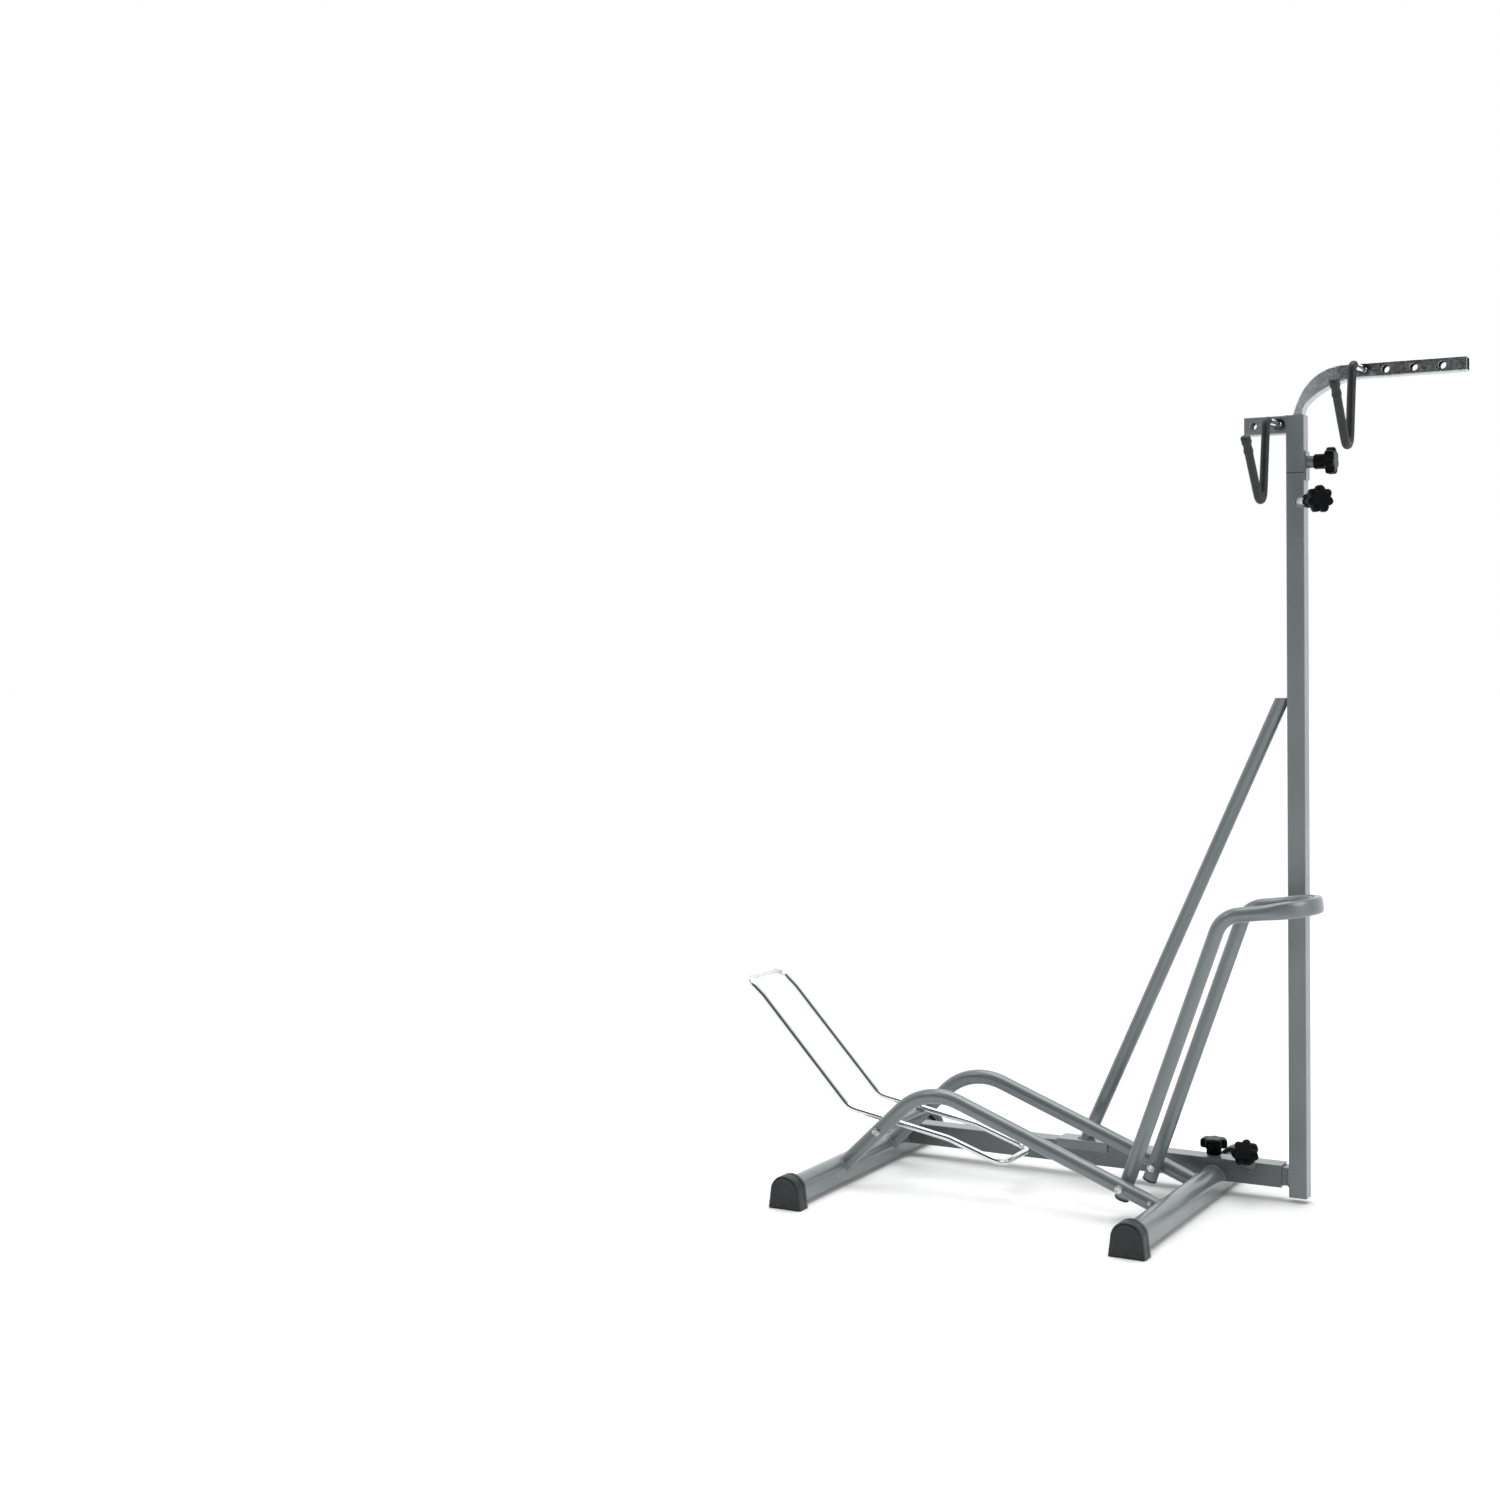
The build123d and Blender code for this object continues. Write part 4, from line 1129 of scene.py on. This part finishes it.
def base_welds():
    """Side tubes and beam on the feet, and the beam's two nuts."""
    skin = Skin()
    feet = surface("left_foot", "right_foot")
    runs = ((-leaning(SIDE_LEFT_ANGLE), LEFT_RUN), (leaning(-SIDE_RIGHT_ANGLE), RIGHT_RUN))
    for side in (-1, 1):
        for axis, run in runs:
            start = at(PEAK[0], side * SIDE_Y, PEAK[1]) + axis * run
            bead_round(skin, start, axis, SIDE_R, feet, BEAD_R["side_tube"])
    for foot_x in (-FOOT_SPACING, 0.0):
        for side in (-1, 1):
            y = LANE_Y + side * BEAM / 2
            path = []
            for i in range(FOOT_SEAM_STEPS + 1):
                angle = math.radians(FOOT_SEAM_START + FOOT_SEAM_SWEEP * i / FOOT_SEAM_STEPS)
                x = foot_x + FOOT_HALF_W * math.cos(angle)
                z = FOOT_Z1 - FOOT_HALF_W + FOOT_HALF_W * math.sin(angle)
                path.append(at(x, y, max(z, BEAM_Z0)))
            bead(skin, path, BEAD_R["beam"], False)
    for knob in ("beam_top", "beam_edge"):
        nut_bead(skin, knob, "beam", BEAM_NUT_RUN)
    piece("base_weld_beads", skin, "base", "frame_grey", sharp=80)


def post_welds():
    """Stub on the post, brace on its saddle and on the post, and the post's nut."""
    skin = Skin()
    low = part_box("post")[0]
    left_x = (low.x - ORIGIN_X) * 1000
    stub_low, stub_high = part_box("stub")
    stub_z = (stub_low.z + stub_high.z) / 2 * 1000
    bead_square(skin, left_x, LANE_Y, stub_z, BEAD_R["stub"])
    brace_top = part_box("brace")[1].z
    axis = -leaning(BRACE_ANGLE)
    saddle_low, saddle_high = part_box("brace_saddle")
    saddle_mid = Vector(((saddle_low.x + saddle_high.x) / 2, LANE_Y / 1000, saddle_high.z))
    saddle = surface("brace_saddle")
    bead_round(skin, saddle_mid - axis * SADDLE_RUN, axis, HOOP_R, saddle, BEAD_R["saddle"])
    top = [Vector((low.x - BEAD_OFFSET, LANE_Y / 1000 + y / 1000, brace_top)) for y in range(-6, 7)]
    bead(skin, top, BEAD_R["brace"], False)
    nut_bead(skin, "post", "post", POST_NUT_RUN)
    piece("post_weld_beads", skin, "post_frame", "frame_grey", sharp=80)


def seam_shade_ring():
    """A black ring that paints the seam's shade as a thin dark line where the sleeve meets the post."""
    low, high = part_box("sleeve")
    middle = Vector(((low.x + high.x) / 2, (low.y + high.y) / 2, low.z))
    half = POST / 2 + LIP_PROUD
    rings = []
    for z, reach in ((LIP_LOW, LIP_BORE), (LIP_LOW, half), (LIP_HIGH, half), (LIP_HIGH, LIP_BORE)):
        rings.append([middle + Vector((x, y, z)) / 1000 for x, y in rounded_square(reach, LIP_CORNER)])
    skin = Skin()
    skin.loft(rings, closed=True)
    piece("sleeve_seam_shade_ring", skin, "sleeve", "black_plastic")


def sleeve_welds():
    """Bracket on the sleeve, and the two edges of the knob's plate."""
    skin = Skin()
    low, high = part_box("sleeve_bracket")
    right_x = (high.x - ORIGIN_X) * 1000
    middle_z = (low.z + high.z) / 2 * 1000
    bead_square(skin, right_x, LANE_Y, middle_z, BEAD_R["bracket"])
    pad_low, pad_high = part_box("sleeve_pad")
    for y in (pad_low.y, pad_high.y):
        line = []
        for i in range(PLATE_STEPS + 1):
            z = pad_low.z + (pad_high.z - pad_low.z) * i / PLATE_STEPS
            line.append(Vector((pad_low.x + BEAD_OFFSET, y, z)))
        bead(skin, line, BEAD_R["plate"], False)
    piece("sleeve_weld_beads", skin, "sleeve", "frame_grey", sharp=80)


# ---- stage ----
BACK_LIGHT = 1.25  # the world's strength behind the stand
SIDE_LIGHT = 0.72  # and beside it
FRONT_LIGHT = 0.13  # the share of that left on the camera's side
WORLD_FRONT = (0.30, -0.95, 0.0)
WHITE = (1.0, 1.0, 1.0, 1.0)
OVERHEAD_SUN = 1.55
SIDE_SUN = 0.95
SOFTBOX_POWER = 5.0
SPARK_POWER = 2.5
SOFTBOX_OFFSET = (-0.35, -0.75, 0.25)  # metres from the box's right near top corner
SPARK_OFFSET = (-0.8, -0.8, 0.65)  # and from its left near top corner
FLOOR_GREY = 0.87
FLOOR_REACH = 30.0
FLOOR_DROP = 0.0003


def floor():
    """White paper just under the caps."""
    data = bpy.data.meshes.new("floor")
    size = FLOOR_REACH
    corners = [(-size, -size, 0), (size, -size, 0), (size, size, 0), (-size, size, 0)]
    data.from_pydata(corners, [], [(0, 1, 2, 3)])
    obj = bpy.data.objects.new("floor", data)
    bpy.context.scene.collection.objects.link(obj)
    obj.location.z = -FLOOR_DROP
    paint = Paint("floor_paper")
    paint.set(Base_Color=(FLOOR_GREY, FLOOR_GREY, FLOOR_GREY, 1.0), Roughness=0.75)
    obj.data.materials.append(paint.material)


def studio_world():
    """White surroundings, brightest behind the stand and dim in front; the camera sees plain white."""
    world = bpy.data.worlds.new("studio")
    bpy.context.scene.world = world
    world.use_nodes = True
    nodes = world.node_tree.nodes
    link = world.node_tree.links.new
    background = nodes["Background"]
    place = nodes.new("ShaderNodeTexCoord")
    dot = nodes.new("ShaderNodeVectorMath")
    dot.operation = "DOT_PRODUCT"
    dot.inputs[1].default_value = WORLD_FRONT
    link(place.outputs["Generated"], dot.inputs[0])
    strength = nodes.new("ShaderNodeMath")
    strength.operation = "MULTIPLY"
    # Where each slope starts and ends between behind (-1) and in front (1), and its two strengths.
    slopes = ((-0.9, 0.0, BACK_LIGHT, SIDE_LIGHT), (0.05, 0.75, 1.0, FRONT_LIGHT))
    for socket, ends in zip(strength.inputs, slopes):
        slope = nodes.new("ShaderNodeMapRange")
        slope.interpolation_type = "SMOOTHSTEP"
        set_range(slope, *ends)
        link(dot.outputs["Value"], slope.inputs["Value"])
        link(slope.outputs["Result"], socket)
    link(strength.outputs["Value"], background.inputs["Strength"])
    background.inputs["Color"].default_value = WHITE
    plain = nodes.new("ShaderNodeBackground")
    plain.inputs["Color"].default_value = WHITE
    path = nodes.new("ShaderNodeLightPath")
    choose = nodes.new("ShaderNodeMixShader")
    link(path.outputs["Is Camera Ray"], choose.inputs["Fac"])
    link(background.outputs["Background"], choose.inputs[1])
    link(plain.outputs["Background"], choose.inputs[2])
    link(choose.outputs["Shader"], nodes["World Output"].inputs["Surface"])


def lamp(name, kind, energy, towards, angle=None, location=None, size=None):
    """A sun with an angle, or an area lamp with a place and a size."""
    data = bpy.data.lights.new(name, kind)
    data.energy = energy
    if angle is not None:
        data.angle = math.radians(angle)
    if size is not None:
        data.size = size
    obj = bpy.data.objects.new(name, data)
    bpy.context.scene.collection.objects.link(obj)
    obj.rotation_euler = Vector(towards).to_track_quat("-Z", "Y").to_euler()
    if location is not None:
        obj.location = location
    return obj


def beyond(corner, offset):
    """A place at some metres from a corner."""
    return Vector([a + b for a, b in zip(corner, offset)])


def lights():
    """Two suns, a softbox that reflections don't show, and a small lamp on the left for highlights."""
    studio_world()
    lamp("overhead", "SUN", OVERHEAD_SUN, (0.05, -0.12, -1.0), angle=50)
    lamp("right_side", "SUN", SIDE_SUN, (-0.9, 0.15, -0.42), angle=35)
    low, high = CAD_BOX
    softbox = beyond((high.x, low.y, high.z), SOFTBOX_OFFSET)
    target = Vector(((low.x + high.x) / 2 + 0.15, high.y, high.z * 0.72))
    softbox_lamp = lamp("softbox", "AREA", SOFTBOX_POWER, target - softbox, location=softbox, size=0.5)
    softbox_lamp.visible_glossy = False
    spark = beyond((low.x, low.y, high.z), SPARK_OFFSET)
    lamp("spark", "AREA", SPARK_POWER, target - spark, location=spark, size=0.25)


def camera():
    """Level camera with a shifted frame and a slight roll."""
    data = bpy.data.cameras.new("camera")
    data.lens = CAMERA_LENS
    data.sensor_width = 36.0
    data.shift_y = CAMERA_SHIFT_Y
    data.clip_end = 100.0
    data.dof.use_dof = False
    ahead = Vector((-math.sin(CAMERA_TURN), math.cos(CAMERA_TURN), 0.0))
    flat_right = Vector((math.cos(CAMERA_TURN), math.sin(CAMERA_TURN), 0.0))
    right = (flat_right - Vector((0, 0, CAMERA_ROLL))).normalized()
    up = right.cross(ahead).normalized()
    turn = Matrix((right, up, -ahead)).transposed()
    obj = bpy.data.objects.new("camera", data)
    bpy.context.scene.collection.objects.link(obj)
    obj.matrix_world = Matrix.Translation(Vector(CAMERA_AT)) @ turn.to_4x4()
    bpy.context.scene.camera = obj


# ---- all of it ----
def build():
    dress_cad_nodes()
    side_bolts()
    rocker_axle()
    rivets()
    for name in KNOBS:
        star_knob(name)
        knob_stud(name)
    for side_name, side in (("near", -1), ("far", 1)):
        foot_cap(f"left_{side_name}_cap", -FOOT_SPACING, side)
        foot_cap(f"right_{side_name}_cap", 0.0, side)
    wheel_hoop()
    hoop_end_plugs()
    rocker()
    for name, tube in HOOK_TUBES.items():
        hook_wire(name, tube / 2)
        hook_sleeve(name)
        hook_locknuts(name, tube / 2)
    base_welds()
    post_welds()
    sleeve_welds()
    seam_shade_ring()


build()
floor()
lights()
camera()
bpy.context.scene.view_settings.view_transform = "Standard"
